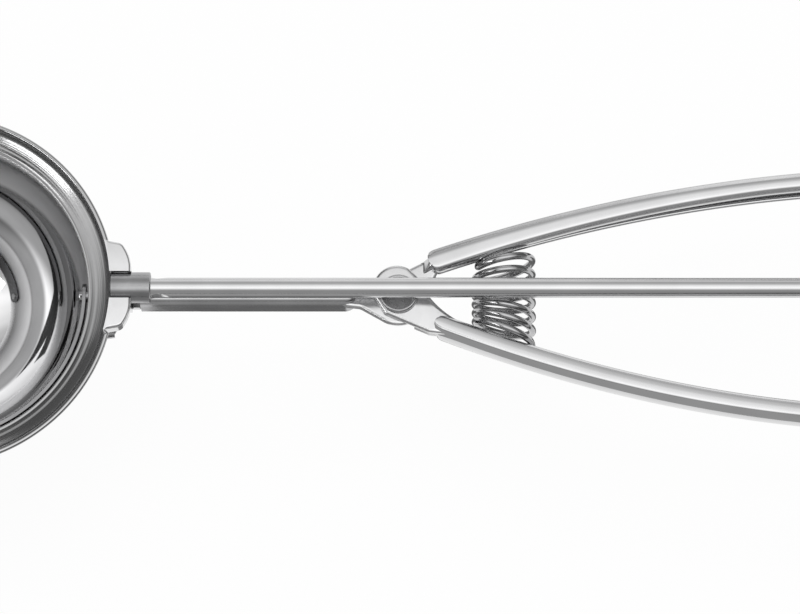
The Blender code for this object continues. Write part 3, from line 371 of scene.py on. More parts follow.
# Dark sheets on the table, seen only in the steel: a cloth in front, and painted shadow beside and under the
# scoop; two opposite corners and a level
TABLE_SHEET_HEIGHT = 0.001
TABLE_EDGE = -0.05
TABLE_CLOTHS_AND_PAINTED_SHADOWS = {
    "front_cloth": ((-0.8, TABLE_EDGE - 1.2), (0.8, TABLE_EDGE), 0.42),
    # Painted shadow: the two sheets beside and under the scoop stand in for its shade on the table, as the
    # steel mirrors it.
    "arm_painted_shadow": ((-0.041, TABLE_EDGE), (0.003, -0.008), 0.22),
    "bracket_painted_shadow": ((-0.03, -0.0079), (0.115, 0.012), 0.2),
}

# Cards in the sky: degrees from straight up towards +X and +Y, width (and length) and level
CARD_DISTANCE = 2.2
RIBBONS = {
    "streak": (((-53, -24), (-49, -30), (-43, -36), (-35, -41)), 0.22, 7.0),
    "ring_flag": (((-24, 2), (-27, -10), (-29, -22), (-30, -34), (-30, -44)), 0.44, 0.06),
    "left_flag": (((-29, -14), (-20, -10), (-13, -8), (-8, -7)), 0.30, 0.06),
}
SIDE_FLAG = (-52, 55, (1.6, 1.4), 0.15)


def spot(x, y, z):
    return Vector((x + BOWL_X, y, z + ROD_HEIGHT))


def metres(points):
    return [(a * 0.001, b * 0.001) for a, b in points]


def clamped(value):
    return min(1.0, max(0.0, value))


class Tree:
    """The nodes of a material or of the world, and a short way to add to them."""

    def __init__(self, owner):
        owner.use_nodes = True
        self.nodes = owner.node_tree.nodes
        self.links = owner.node_tree.links

    def plug(self, value, socket):
        if isinstance(value, bpy.types.NodeSocket):
            self.links.new(value, socket)
        else:
            socket.default_value = value

    def add(self, kind, inputs, output=None, **settings):
        """Adds a node, plugs sockets or values into its inputs and gives back it or one output."""
        node = self.nodes.new(kind)
        for name, value in settings.items():
            setattr(node, name, value)
        for name, value in inputs.items():
            self.plug(value, node.inputs[name])
        return node.outputs[output] if output else node

    def calculate(self, operation, first, second):
        return self.add("ShaderNodeMath", {0: first, 1: second}, "Value", operation=operation)

    def multiply_colours(self, first, second):
        inputs = {"Factor": 1, "A": first, "B": second}
        return self.add("ShaderNodeMix", inputs, "Result", data_type="RGBA", blend_type="MULTIPLY")

    def noise(self, coords, scale, stretch, detail):
        vector = self.add("ShaderNodeMapping", {"Scale": stretch, "Vector": coords}, "Vector")
        return self.add("ShaderNodeTexNoise", {"Scale": scale, "Detail": detail, "Vector": vector}, "Fac")

    def ramp(self, value, stops, interpolation="EASE", tint=0):
        """A curve of greys through (position, level) stops; tint is added to the blue."""
        node = self.add("ShaderNodeValToRGB", {"Fac": value})
        node.color_ramp.interpolation = interpolation
        elements = node.color_ramp.elements
        while len(elements) < len(stops):
            elements.new(0.5)
        for element, (position, level) in zip(elements, stops):
            element.position = position
            element.color = (level, level, level + tint, 1)
        return node.outputs["Color"]

    def shown(self):
        """1 for the rays that show things: from the camera, mirrored or through glass."""
        path = self.add("ShaderNodeLightPath", {})
        seen = self.calculate("MAXIMUM", path.outputs["Is Camera Ray"], path.outputs["Is Glossy Ray"])
        return self.calculate("MAXIMUM", seen, path.outputs["Is Transmission Ray"])


def steel(name, tones, rough, scale, relief, grain=EVEN_GRAIN):
    """Stainless steel: cloudy tone, uneven polish and fine lines along its grain."""
    material = bpy.data.materials.new(name)
    tree = Tree(material)
    shader = tree.nodes["Principled BSDF"]
    shader.inputs["Metallic"].default_value = 1.0
    coords = tree.add("ShaderNodeTexCoord", {}, "Object")
    cloud = tree.noise(coords, CLOUD_SCALE, EVEN_GRAIN, CLOUD_DETAIL)
    lines = tree.noise(coords, scale, grain, GRAIN_DETAIL)
    stops = ((NOISE_LOW, tones[0]), (NOISE_HIGH, tones[1]))
    tree.plug(tree.ramp(cloud, stops, "LINEAR", BLUE_TINT), shader.inputs["Base Color"])
    spread = {"Value": lines, "From Min": NOISE_LOW, "From Max": NOISE_HIGH}
    spread.update({"To Min": rough[0], "To Max": rough[1]})
    tree.plug(tree.add("ShaderNodeMapRange", spread, "Result"), shader.inputs["Roughness"])
    bump = {"Strength": relief, "Distance": GRAIN_HEIGHT, "Height": lines}
    tree.plug(tree.add("ShaderNodeBump", bump, "Normal"), shader.inputs["Normal"])
    return material


def spun_steel_painted_reflection():
    """The bowl's inside: mirror bottom, rougher upper wall, and a flare with fine turning lines; a darker
    ring on the wall and the darker flare are painted reflection.
    """
    material = steel(*BOWL_FINISH)
    tree = Tree(material)
    shader = tree.nodes["Principled BSDF"]
    tone, rough, normal = [shader.inputs[name] for name in ("Base Color", "Roughness", "Normal")]
    coords = tree.add("ShaderNodeTexCoord", {}, "Object")
    middle = {"Location": (-BOWL_X, 0, 0), "Scale": (1, 1, 0), "Vector": coords}
    flat = tree.add("ShaderNodeMapping", middle, "Vector")
    distance = tree.add("ShaderNodeVectorMath", {0: flat}, "Value", operation="LENGTH")
    radius = tree.add("ShaderNodeMapRange", {"From Max": RIM_RADIUS, "Value": distance}, "Result")
    wave = {"Scale": BOWL_LINE_SCALE, "Detail": BOWL_LINE_DETAIL, "W": radius}
    turning = tree.add("ShaderNodeTexNoise", wave, "Fac", noise_dimensions="1D")
    # Painted reflection: darker rings by radius stand in for the dark surroundings that the bowl mirrors.
    tree.plug(tree.multiply_colours(tone.links[0].from_socket, tree.ramp(radius, BOWL_PAINTED_REFLECTION)), tone)
    tree.plug(tree.calculate("ADD", rough.links[0].from_socket, tree.ramp(radius, BOWL_POLISH)), rough)
    lines = tree.calculate("MULTIPLY", turning, tree.ramp(radius, BOWL_LINES))
    bump = {"Strength": BOWL_LINE_RELIEF, "Distance": BOWL_LINE_HEIGHT, "Height": lines}
    bump["Normal"] = normal.links[0].from_socket
    tree.plug(tree.add("ShaderNodeBump", bump, "Normal"), normal)
    return material


def make_materials():
    materials = {finish: steel(*values) for finish, values in FINISHES.items()}
    materials["bowl"] = spun_steel_painted_reflection()
    return materials


def to_object(bm, name, material, smooth=35):
    """An object from a bmesh; edges that turn by more than smooth degrees stay sharp."""
    bmesh.ops.remove_doubles(bm, verts=bm.verts, dist=1e-7)
    bmesh.ops.recalc_face_normals(bm, faces=bm.faces)
    mesh = bpy.data.meshes.new(name)
    bm.to_mesh(mesh)
    bm.free()
    mesh.shade_smooth()
    mesh.set_sharp_from_angle(angle=math.radians(smooth))
    item = bpy.data.objects.new(name, mesh)
    bpy.context.collection.objects.link(item)
    mesh.materials.append(material)
    return item


def turned(profile, axis, steps, centre):
    """Spins a profile of (radius, height) points about an axis through centre."""
    bm = bmesh.new()
    along = Vector(axis)
    side = Vector(ALONG_ROD) if axis == UPWARD else Vector(UPWARD)
    verts = [bm.verts.new(centre + side * r + along * h) for r, h in profile]
    edges = [bm.edges.new(pair) for pair in zip(verts, verts[1:])]
    bmesh.ops.spin(bm, geom=verts + edges, cent=centre, axis=axis, angle=math.tau, steps=steps,
                   use_merge=True)
    return bm


def drill(radius, low, high, height, steps):
    """A round bar along X, to cut a hole with."""
    profile = [(0, low), (radius, low), (radius, high), (0, high)]
    return turned(profile, ALONG_ROD, steps, spot(0, 0, height))


def loft(rings):
    """A closed skin through rings of as many points each."""
    bm = bmesh.new()
    loops = [[bm.verts.new(point) for point in points] for points in rings]
    for first, second in zip(loops, loops[1:]):
        for i in range(len(first)):
            j = (i + 1) % len(first)
            bm.faces.new((first[i], first[j], second[j], second[i]))
    bm.faces.new(list(reversed(loops[0])))
    bm.faces.new(loops[-1])
    return bm


def extruded(points, push):
    bm = bmesh.new()
    base = bm.faces.new([bm.verts.new(point) for point in points])
    copy = bmesh.ops.extrude_face_region(bm, geom=[base])
    verts = [item for item in copy["geom"] if isinstance(item, bmesh.types.BMVert)]
    bmesh.ops.translate(bm, verts=verts, vec=Vector(push))
    return bm


def prism(outline, low, high):
    return extruded([spot(x, y, low) for x, y in outline], (0, 0, high - low))


def prism_along_x(outline, low, high):
    return extruded([spot(low, y, z) for y, z in outline], (high - low, 0, 0))


def box(low, high):
    outline = [(low[0], low[1]), (high[0], low[1]), (high[0], high[1]), (low[0], high[1])]
    return prism(outline, low[2], high[2])


def plate(outline, low, high, width, drop, weights=None):
    """A flat plate whose upper edge is rounded off over the given width and drop."""
    weights = weights or [1] * len(outline)
    before = outline[-1:] + outline[:-1]
    after = outline[1:] + outline[:1]
    area = sum(a[0] * b[1] - b[0] * a[1] for a, b in zip(before, outline))
    inward = []
    for a, b in zip(before, after):
        run = (Vector(b) - Vector(a)).normalized()
        inward.append(Vector((-run.y, run.x)) * math.copysign(1, area))
    levels = [(0, low)]
    for degrees in range(0, 91, EDGE_STEP):
        angle = math.radians(degrees)
        levels.append((width * (1 - math.cos(angle)), high - drop * (1 - math.sin(angle))))
    rings = []
    for inset, z in levels:
        places = [Vector(point) + normal * inset * weight
                  for point, normal, weight in zip(outline, inward, weights)]
        rings.append([spot(place.x, place.y, z) for place in places])
    return loft(rings)


def soften(item, width):
    bevel = item.modifiers.new("edge", "BEVEL")
    bevel.width = width
    bevel.segments = BEVEL_SEGMENTS
    bevel.limit_method = "ANGLE"
    bevel.angle_limit = BEVEL_ANGLE
    bevel.harden_normals = True


def cut(item, bm, name, operation="DIFFERENCE"):
    modifier = item.modifiers.new(name, "BOOLEAN")
    modifier.operation = operation
    modifier.solver = "EXACT"
    modifier.object = to_object(bm, name, item.data.materials[0])


def join(item, bm, name):
    cut(item, bm, name, "UNION")


def final_mesh(item):
    graph = bpy.context.evaluated_depsgraph_get()
    graph.update()
    return bpy.data.meshes.new_from_object(item.evaluated_get(graph))


def bake(item):
    """Applies an object's cuts and joins and removes the shapes that they used."""
    tools = [modifier.object for modifier in item.modifiers]
    mesh = final_mesh(item)
    item.modifiers.clear()
    item.data = mesh
    for tool in tools:
        bpy.data.objects.remove(tool, do_unlink=True)


def arc(centre, radius, start, end, steps):
    span = math.radians(end - start)
    angles = [math.radians(start) + span * i / steps for i in range(steps + 1)]
    return [(centre[0] + radius * math.cos(a), centre[1] + radius * math.sin(a)) for a in angles]


def cove(start_radius, start_height, run, rise, last, steps=14):
    angles = [math.radians(last) * i / steps for i in range(steps + 1)]
    return [(start_radius + run * math.sin(a), start_height + rise * (1 - math.cos(a))) for a in angles]


def bezier(controls, steps=16):
    """A curve from the first control point to the last, pulled towards those between."""
    points = []
    for i in range(steps + 1):
        layer = [Vector(point) for point in controls]
        while len(layer) > 1:
            layer = [first.lerp(second, i / steps) for first, second in zip(layer, layer[1:])]
        points.append(tuple(layer[0]))
    return points


def rounded(points, radius, steps=6):
    """Rounds an outline's corners with arcs of up to the given radius."""
    result = []
    count = len(points)
    for i in range(count):
        corner = Vector(points[i])
        before = Vector(points[i - 1]) - corner
        after = Vector(points[(i + 1) % count]) - corner
        turn = before.angle(after)
        if turn > STRAIGHT:
            result.append(tuple(corner))
            continue
        length = min(radius / math.tan(turn / 2), before.length * LONGEST_CUT, after.length * LONGEST_CUT)
        start = corner + before.normalized() * length
        end = corner + after.normalized() * length
        result += bezier((start, corner, end), steps)
    return result


def even(outline):
    """The same closed outline with more points along its long edges."""
    result = []
    for start, end in zip(outline, outline[1:] + outline[:1]):
        run = Vector(end) - Vector(start)
        count = max(1, round(run.length / OUTLINE_SPACING))
        result += [tuple(Vector(start) + run * i / count) for i in range(count)]
    return result


def smooth_points(points, steps=3):
    """A smooth curve through the given points."""
    result = []
    last = len(points) - 1
    for i in range(last):
        places = [Vector(points[max(0, min(last, j))]) for j in range(i - 1, i + 3)]
        before, start, end, after = places
        leave = start + (end - before) / 6
        arrive = end - (after - start) / 6
        result += bezier((start, leave, arrive, end), steps)[:-1]
    return result + [tuple(points[-1])]


def rim_turn(start, end, steps=5):
    """The round edge of the sheet between its outside and inside."""
    middle = (Vector(start) + Vector(end)) / 2
    half = (Vector(start) - Vector(end)) / 2
    outward = -1 if half.y > 0 else 1
    out = Vector((-half.y, half.x)) * outward * EDGE_FULLNESS
    angles = [math.pi * i / steps for i in range(1, steps)]
    return [tuple(middle + half * math.cos(a) + out * math.sin(a)) for a in angles]


def curled(points, depth_scale=1, height_scale=1):
    """A section from its outside points: down the outside and back up the inside of the sheet."""
    count = len(points)
    inside = []
    for i, (depth, height) in enumerate(points):
        before = Vector(points[max(0, i - 1)])
        after = Vector(points[min(count - 1, i + 1)])
        run = (after - before).normalized()
        inside.append((depth + run.y * HANDLE_SHEET, height - run.x * HANDLE_SHEET))
    inside.reverse()
    loop = points + rim_turn(points[-1], inside[0]) + inside + rim_turn(inside[-1], points[0])
    return [(depth * depth_scale, height * height_scale) for depth, height in loop]


def rounding(run, length, share):
    """The section's scale at a distance from a rounded end."""
    part = clamped(run / length)
    return share + (1 - share) * math.sqrt(1 - (1 - part) ** 2)


def dress_outside(item, material):
    """The bowl's outside keeps an even polish: the rings of painted reflection belong to the inside."""
    item.data.materials.append(material)
    middle = spot(0, 0, -CUP_DROP)
    steepest_rise = 0.01
    for face in item.data.polygons:
        away = face.center - middle
        outward = face.normal.dot(away) > 0 and face.normal.z < steepest_rise
        if outward and away.xy.length < RIM_RADIUS - 2 * RIM_BEAD:
            face.material_index = 1


def bowl(materials):
    """Cup, rounded mouth edge, groove, straight flare with a crease, and the beaded rim."""
    centre = (0, -CUP_DROP)
    bead = (RIM_RADIUS - RIM_BEAD, -RIM_DROP - RIM_BEAD)
    inner = arc(centre, BOWL_RADIUS, -90, 0, CUP_STEPS)
    inner += [(BOWL_RADIUS + r, -LEDGE_DROP + z) for r, z in metres(FLARE_MM)]
    rim = arc(bead, RIM_BEAD, BEAD_START, BEAD_STOP, BEAD_STEPS)
    run = RIM_RADIUS - 2 * RIM_BEAD - LEDGE_RADIUS
    foot = -LEDGE_DROP + BOWL_SHEET / 4
    under = cove(LEDGE_RADIUS, foot - BOWL_SHEET, run + BOWL_SHEET / 2, bead[1] - foot, COVE_TURN)
    outer = arc(centre, BOWL_RADIUS + BOWL_SHEET, -90, 0, CUP_STEPS)
    outer += [(BOWL_RADIUS + BOWL_SHEET, -LEDGE_DROP - BOWL_SHEET)] + under
    bm = turned(inner + rim + list(reversed(outer)), UPWARD, BOWL_STEPS, spot(0, 0, 0))
    item = to_object(bm, "bowl_shell", materials["bowl"], 50)
    dress_outside(item, materials["outside"])
    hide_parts("bowl")
    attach(item, "scoop")


def rod(materials):
    """The bar, flat on both sides for a short way beside the ferrule."""
    stations = [(FERRULE_START + FERRULE_PLUG + GAP, 1, ROD_RADIUS)]
    for i in range(ROD_FLAT_STEPS + 1):
        share = i / ROD_FLAT_STEPS
        ground = math.sin(math.pi * share ** ROD_FLAT_SKEW) ** ROD_FLAT_FULLNESS
        half = ROD_RADIUS - (ROD_RADIUS - ROD_FLAT_HALF) * ground
        stations.append((ROD_FLAT_START + (ROD_FLAT_END - ROD_FLAT_START) * share, 1, half))
    for degrees in ROD_TIP_DEGREES:
        angle = math.radians(degrees)
        stations.append((ROD_END - ROD_RADIUS * (1 - math.sin(angle)), math.cos(angle), ROD_RADIUS))
    rings = []
    for x, scale, half in stations:
        circle = arc((0, 0), ROD_RADIUS * scale, 0, 360, ROD_SIDES)[:-1]
        rings.append([spot(x, max(-half, min(half, y)), z) for y, z in circle])
    item = to_object(loft(rings), "rod_bar", materials["rod"], 25)
    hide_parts("rod")
    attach(item, "scoop")


def ferrule(materials):
    """The satin sleeve on the rod's end, notched over the rim."""
    radius = FERRULE_RADIUS
    edge = FERRULE_EDGE
    bore = ROD_RADIUS + GAP
    wall = FERRULE_START + FERRULE_PLUG
    profile = [(0, FERRULE_START), (radius - edge, FERRULE_START), (radius, FERRULE_START + edge)]
    profile += [(radius, FERRULE_END - edge), (radius - edge, FERRULE_END)]
    profile += [(bore + edge, FERRULE_END), (bore, FERRULE_END - edge), (bore, wall), (0, wall)]
    bm = turned(profile, ALONG_ROD, TURN_STEPS, spot(0, 0, 0))
    item = to_object(bm, "ferrule_sleeve", materials["ferrule"], 30)
    far = 2 * radius
    notch = box((FERRULE_START - BOWL_SHEET, -far, -far), (RIM_RADIUS + GAP, far, -RIM_DROP + GAP))
    cut(item, notch, "rim_notch")
    bake(item)
    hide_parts("ferrule")
    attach(item, "scoop")


def bracket_plan(inset, inner_radius):
    """The bracket from above: a crescent over the rim, with a wing on each side."""
    face = BRACKET_FACE - inset
    corner = Vector((face - BRACKET_SETBACK, BRACKET_HALF_WIDTH - BRACKET_END_TAPER - inset))
    tip_y = BRACKET_HALF_WIDTH - inset
    tip = (math.sqrt(SADDLE_RADIUS ** 2 - tip_y ** 2), tip_y)
    start = math.degrees(math.asin(tip_y / SADDLE_RADIUS))
    edge = bezier(((face, BRACKET_SHOULDER), (face, (BRACKET_SHOULDER + corner[1]) / 2), corner))
    first, last = [corner + (Vector(point) - corner).normalized() * BRACKET_CORNER_CUT
                   for point in (edge[-2], tip)]
    edge = [point for point in edge[:-1] if (Vector(point) - corner).length > BRACKET_CORNER_CUT]
    upper = edge + bezier((first, corner, last), BRACKET_CORNER_STEPS) + [tip]
    crescent = arc((0, 0), inner_radius, start, -start, BRACKET_ARC_STEPS)
    lower = [(x, -y) for x, y in reversed(upper)]
    return upper + crescent[1:-1] + lower


def bracket(materials):
    """The saddle behind the rim: two wings with turned edges, cheeks by the ferrule and a web."""
    foot = -RIM_DROP + GAP
    outline = even(bracket_plan(0, SADDLE_RADIUS))
    beyond_rim = [math.hypot(x, y) - SADDLE_RADIUS for x, y in outline]
    weights = [clamped(distance / WING_EDGE_WIDTH - 0.5) for distance in beyond_rim]
    plan = plate(outline, foot, BRACKET_TOP, WING_EDGE_WIDTH, WING_EDGE_DROP, weights)
    item = to_object(plan, "bracket_saddle", materials["bracket"], 40)
    hollow = bracket_plan(BRACKET_SHEET, SADDLE_RADIUS - BRACKET_SHEET)
    cut(item, prism(hollow, foot - BRACKET_SHEET, BRACKET_TOP - BRACKET_SHEET), "hollow")
    knee = -FERRULE_RADIUS - BRACKET_SHEET
    web = [(WEB_HALF, BRACKET_TOP - GAP), (WEB_HALF, foot), (WEB_FOOT_HALF, knee - BRACKET_SHEET)]
    web += [(WEB_FOOT_HALF, WEB_FOOT + BRACKET_SHEET), (WEB_FOOT_HALF - BRACKET_SHEET, WEB_FOOT)]
    web += [(-y, z) for y, z in reversed(web)]
    sliver = BRACKET_SHEET / 16
    join(item, prism_along_x(web, BRACKET_FACE - BRACKET_SHEET, BRACKET_FACE - sliver), "web")
    tube = FERRULE_RADIUS + GAP
    beyond = BRACKET_FACE + BRACKET_SHEET
    for side, name in ((1, "north_cheek"), (-1, "south_cheek")):
        ys = sorted((side * tube / 2, side * (tube + BRACKET_SHEET)))
        low = (SADDLE_RADIUS, ys[0], foot + sliver)
        high = (BRACKET_FACE - BRACKET_SHEET / 2, ys[1], BRACKET_TOP - BRACKET_SHEET / 2)
        join(item, box(low, high), name)
    cut(item, drill(tube, BOWL_RADIUS, beyond, 0, TURN_STEPS), "ferrule_gap")
    slot = math.sqrt(tube ** 2 - (BRACKET_TOP - BRACKET_SHEET) ** 2)
    cut(item, box((BOWL_RADIUS, -slot, 0), (beyond, slot, BRACKET_TOP + GAP)), "slot")
    start = BRACKET_FACE - 2 * BRACKET_SHEET
    bearing = drill(SHAFT_NECK_RADIUS + GAP, start, beyond, -CUP_DROP, SMALL_TURN_STEPS)
    cut(item, bearing, "bearing")
    bake(item)
    soften(item, BRACKET_EDGE)
    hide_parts("bracket")
    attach(item, "scoop")


class Grip:
    """The curved line of one grip; its side is 1 for the upper grip and -1 for the lower one."""

    def __init__(self, name, side, nose_x, end_spread, nose_length, nose_share):
        self.name = name
        self.side = side
        self.nose_x = nose_x
        self.end_spread = end_spread
        self.nose_length = nose_length
        self.nose_share = nose_share
        self.length = HANDLE_END - nose_x

    def spread(self, x):
        """How far the line is from the rod's axis."""
        share = (HANDLE_END - x) / self.length
        return self.end_spread - (self.end_spread - HANDLE_NOSE_SPREAD) * share ** 2

    def slope(self, x):
        return 2 * (self.end_spread - HANDLE_NOSE_SPREAD) * (HANDLE_END - x) / self.length ** 2

    def beside(self, run, margin):
        """A place beside the line: run along it from the nose, margin outwards."""
        return (self.nose_x + run, self.side * (self.spread(self.nose_x + run) + margin))

    def outline(self, run):
        """The outside points; the upper grip's crown is broadest by its nose."""
        under = metres(GRIP_UNDER_MM)
        if self.side < 0:
            under = [(depth + LOWER_BACK * clamped(1 - depth / GRIP_DEPTH), height)
                     for depth, height in under]
            return smooth_points(under + metres(LOWER_TOP_MM))
        wider = CROWN_WIDER * max(0.0, 1 - run / CROWN_TAPER)
        top = [(depth + wider * clamped((depth - CROWN_WIDER_FROM) / CROWN_WIDER_RAMP), height)
               for depth, height in metres(UPPER_TOP_MM)]
        return smooth_points(under + top)

    def stations(self):
        """Places along the grip and the section's scale there: domed nose, body and rounded end."""
        stations = []
        for degrees in NOSE_DOME_DEGREES:
            angle = math.radians(degrees)
            stations.append((-NOSE_DOME * math.cos(angle), self.nose_share * math.sin(angle)))
        for degrees in range(0, 90, ROUND_STEP):
            run = self.nose_length * (1 - math.cos(math.radians(degrees)))
            stations.append((run, rounding(run, self.nose_length, self.nose_share)))
        body = self.length - self.nose_length - END_LENGTH
        stations += [(self.nose_length + body * i / GRIP_STEPS, 1) for i in range(GRIP_STEPS + 1)]
        for degrees in range(ROUND_STEP, 91, ROUND_STEP):
            run = END_LENGTH * (1 - math.sin(math.radians(degrees)))
            stations.append((self.length - run, rounding(run, END_LENGTH, END_SHARE)))
        return stations

    def ring(self, x, section, depth_scale):
        """A section of (depth, height) points, set square across the grip at x."""
        inward = Vector((self.slope(x), -1)).normalized()
        spread = self.spread(x)
        points = []
        for depth, height in section:
            offset = depth - GRIP_DEPTH * depth_scale / 2
            y = self.side * (spread + inward.y * offset) + GRIP_SHIFT
            points.append(spot(x + inward.x * offset, y, CHANNEL_TOP + height))
        return points

    def shell(self):
        """One long curled channel."""
        rings = []
        for run, scale in self.stations():
            depth_scale = max(scale, THINNEST)
            height_scale = depth_scale
            if run <= self.nose_length:
                height_scale = NOSE_BLUNT * max(scale, NOSE_LEAST) + (1 - NOSE_BLUNT) * scale ** 2
            section = curled(self.outline(run), depth_scale, height_scale)
            rings.append(self.ring(self.nose_x + run, section, depth_scale))
        return loft(rings)

    def block(self, at_end):
        """The closed nose or end, just inside the shell."""
        inset = HANDLE_SHEET / 4
        depth_share = (GRIP_DEPTH - inset * 2) / GRIP_DEPTH
        rings = []
        for share in BLOCK_SHARES:
            run = self.nose_length * share
            scale = rounding(run, self.nose_length, self.nose_share)
            if at_end:
                run = self.length - END_LENGTH * share - inset
                scale = rounding(END_LENGTH * share, END_LENGTH, END_SHARE)
            section = [((inset + depth * depth_share) * scale, (height * BLOCK_HEIGHT - inset) * scale)
                       for depth, height in self.outline(run)]
            rings.append(self.ring(self.nose_x + run, section, scale))
        return loft(rings)

    def pieces(self, material):
        return [to_object(self.shell(), self.name, material, 40),
                to_object(self.block(False), self.name + "_nose", material, 40),
                to_object(self.block(True), self.name + "_end", material, 40)]


UPPER = Grip("upper_grip", side=1, nose_x=0.0997, end_spread=0.0239, nose_length=0.0015, nose_share=0.60)
LOWER = Grip("lower_grip", side=-1, nose_x=0.1010, end_spread=0.0261, nose_length=0.0018, nose_share=0.45)


def from_pivot(x, y):
    return (PIVOT_X + x, PIVOT_Y + y)


def lug(name, outline, top, material):
    """A flat lug under the rod, its upper edge rounded off."""
    bm = plate(even(outline), top - LUG_SHEET, top, LUG_EDGE_WIDTH, LUG_EDGE_DROP)
    return to_object(bm, name, material, 40)


def lower_lug_edge():
    """The lower lug's outer edge: heel, tail by the grip's nose and meeting place with the grip."""
    return [from_pivot(*LOWER_HEEL), LOWER.beside(*LOWER_TAIL_BESIDE), LOWER.beside(*LOWER_MERGE_BESIDE)]


def lower_lug_outline():
    head = arc(from_pivot(*LOWER_HEAD), *LOWER_HEAD_ARC)
    start = LOWER.beside(*LOWER_HOLLOW_BESIDE)
    hollow = bezier((start, from_pivot(*LOWER_HOLLOW_PULL), from_pivot(*LOWER_HOLLOW_END)))
    return rounded(head + lower_lug_edge() + hollow, LOWER_CORNER)


def skirt_outline():
    """The strip along the lower lug's outer edge that turns down to the grip."""
    start, tail, merge = [Vector(point) for point in lower_lug_edge()]
    along = (tail - start).normalized()
    inward = Vector((-along.y, along.x))
    first = start + along * SKIRT_START + inward * LUG_SHEET / 16
    last = tail + inward * LUG_SHEET / 16
    inner = inward * LUG_SHEET
    return [first, last, merge, merge + Vector((0, LUG_SHEET)), last + inner, first + inner]


def lower_handle(materials):
    pieces = LOWER.pieces(materials["grip"])
    flat = lug("lower_lug", lower_lug_outline(), UPPER_LUG_TOP, materials["lug"])
    join(flat, prism(skirt_outline(), CHANNEL_MID, UPPER_LUG_TOP - LUG_SHEET / 3), "lug_skirt")
    bake(flat)
    for piece in pieces + [flat]:
        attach(piece, "scoop")
        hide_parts("lower_handle")


def arm_channel():
    """The forward arm: a narrow crown and flanks that lean out to the full width."""
    half = metres(ARM_HALF_MM)
    loop = curled(smooth_points([(-y, z) for y, z in reversed(half[1:])] + half, 2))
    straight = ARM_END - END_LENGTH - ARM_START
    stations = [ARM_START + straight * i / ARM_STEPS for i in range(ARM_STEPS)]
    stations += [ARM_END - END_LENGTH * (1 - math.sin(math.radians(d))) for d in range(0, 90, ARM_END_STEP)]
    rings = []
    for x in stations:
        scale = rounding(ARM_END - x, END_LENGTH, END_SHARE)
        slant = ARM_SLANT if x == ARM_START else 0
        base = ARM_TOP - ARM_HEIGHT * (1 - scale) / 2
        rings.append([spot(x - slant * y / ARM_WIDTH * 2, ARM_CENTRE_Y + y * scale, base + z * scale)
                      for y, z in loop])
    return loft(rings)


def upper_neck():
    """The upper lug's end, which bends up over its whole width into the grip's nose."""
    rings = []
    for i in range(NECK_STEPS + 1):
        share = NECK_OVERRUN * i / NECK_STEPS
        x = UPPER.nose_x - NECK_LENGTH + (NECK_LENGTH + NECK_LAP) * share
        rise = min(1.0, share) ** 2 * (3 - 2 * min(1.0, share))
        climb = CHANNEL_TOP - NECK_END_DROP - LOWER_LUG_TOP
        top = LOWER_LUG_TOP - LUG_SHEET * NECK_CEILING + climb * rise
        bottom = LOWER_LUG_TOP - LUG_SHEET * NECK_FLOOR - NECK_END_SINK * rise
        middle = UPPER.spread(x) - NECK_OFFSET * (1 - rise * NECK_RETURN)
        half = NECK_HALF + NECK_FLARE * share
        level = (top + bottom) / 2
        corner = min(half, top - level) * NECK_ROUND
        ring = []
        for side, up, start in NECK_CORNERS:
            centre = (middle + side * (half - corner), level + up * (top - level - corner))
            ring += [spot(x, y, z) for y, z in arc(centre, corner, start, start + 90, NECK_CORNER_STEPS)]
        rings.append(ring)
    return loft(rings)


def upper_lug_outline():
    south = arc(from_pivot(0, 0), *UPPER_SOUTH_ARC)
    side = [from_pivot(*UPPER_SIDE)] + [UPPER.beside(*place) for place in UPPER_SIDE_BESIDE]
    north = arc(from_pivot(0, 0), *UPPER_NORTH_ARC)
    neck = ARM_WIDTH / 2 - HANDLE_SHEET / 2
    end = [(ARM_END - ARM_LAP, ARM_CENTRE_Y + neck), (ARM_END - ARM_LAP, ARM_CENTRE_Y - neck)]
    end.append((ARM_END + ARM_SPUR, ARM_CENTRE_Y - ARM_WIDTH / 2))
    return rounded(south + side + north + end, UPPER_CORNER)


def arm_tab(material):
    """The end of the arm: a flat tab that turns down in front of the bracket's web."""
    half = ARM_WIDTH / 2
    face = BRACKET_FACE + GAP
    top = ARM_TOP - TAB_DROP
    y = ARM_CENTRE_Y
    step = ARM_START + TAB_STEP
    lap = ARM_START + TAB_LAP
    outline = [(face, y - half), (step, y - half), (step, y - TAB_HALF), (lap, y - TAB_HALF)]
    outline += [(lap, y + TAB_HALF), (step, y + TAB_HALF), (step, y + half), (face, y + half)]
    flat = to_object(prism(outline, top - HANDLE_SHEET, top), "arm_tab_plate", material, 30)
    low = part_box("rack")[0][2] - ROD_HEIGHT + RACK_LAP + GAP
    wall = [(y - half, top - HANDLE_SHEET / 2), (y + half, top - HANDLE_SHEET / 2)]
    wall += [(y + TAB_FOOT_HALF, low), (y - TAB_FOOT_HALF, low)]
    join(flat, prism_along_x(wall, face + TAB_SLIVER, face + HANDLE_SHEET), "tab_downturn")
    bake(flat)
    soften(flat, TAB_EDGE)
    return flat


def upper_handle(materials):
    pieces = UPPER.pieces(materials["grip"])
    pieces.append(to_object(arm_channel(), "forward_arm_ridge", materials["arm"], 50))
    pieces.append(lug("upper_lug", upper_lug_outline(), LOWER_LUG_TOP, materials["lug"]))
    pieces.append(to_object(upper_neck(), "upper_neck", materials["grip"], 50))
    pieces.append(arm_tab(materials["lug"]))
    for piece in pieces:
        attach(piece, "grip")
        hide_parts("upper_handle")


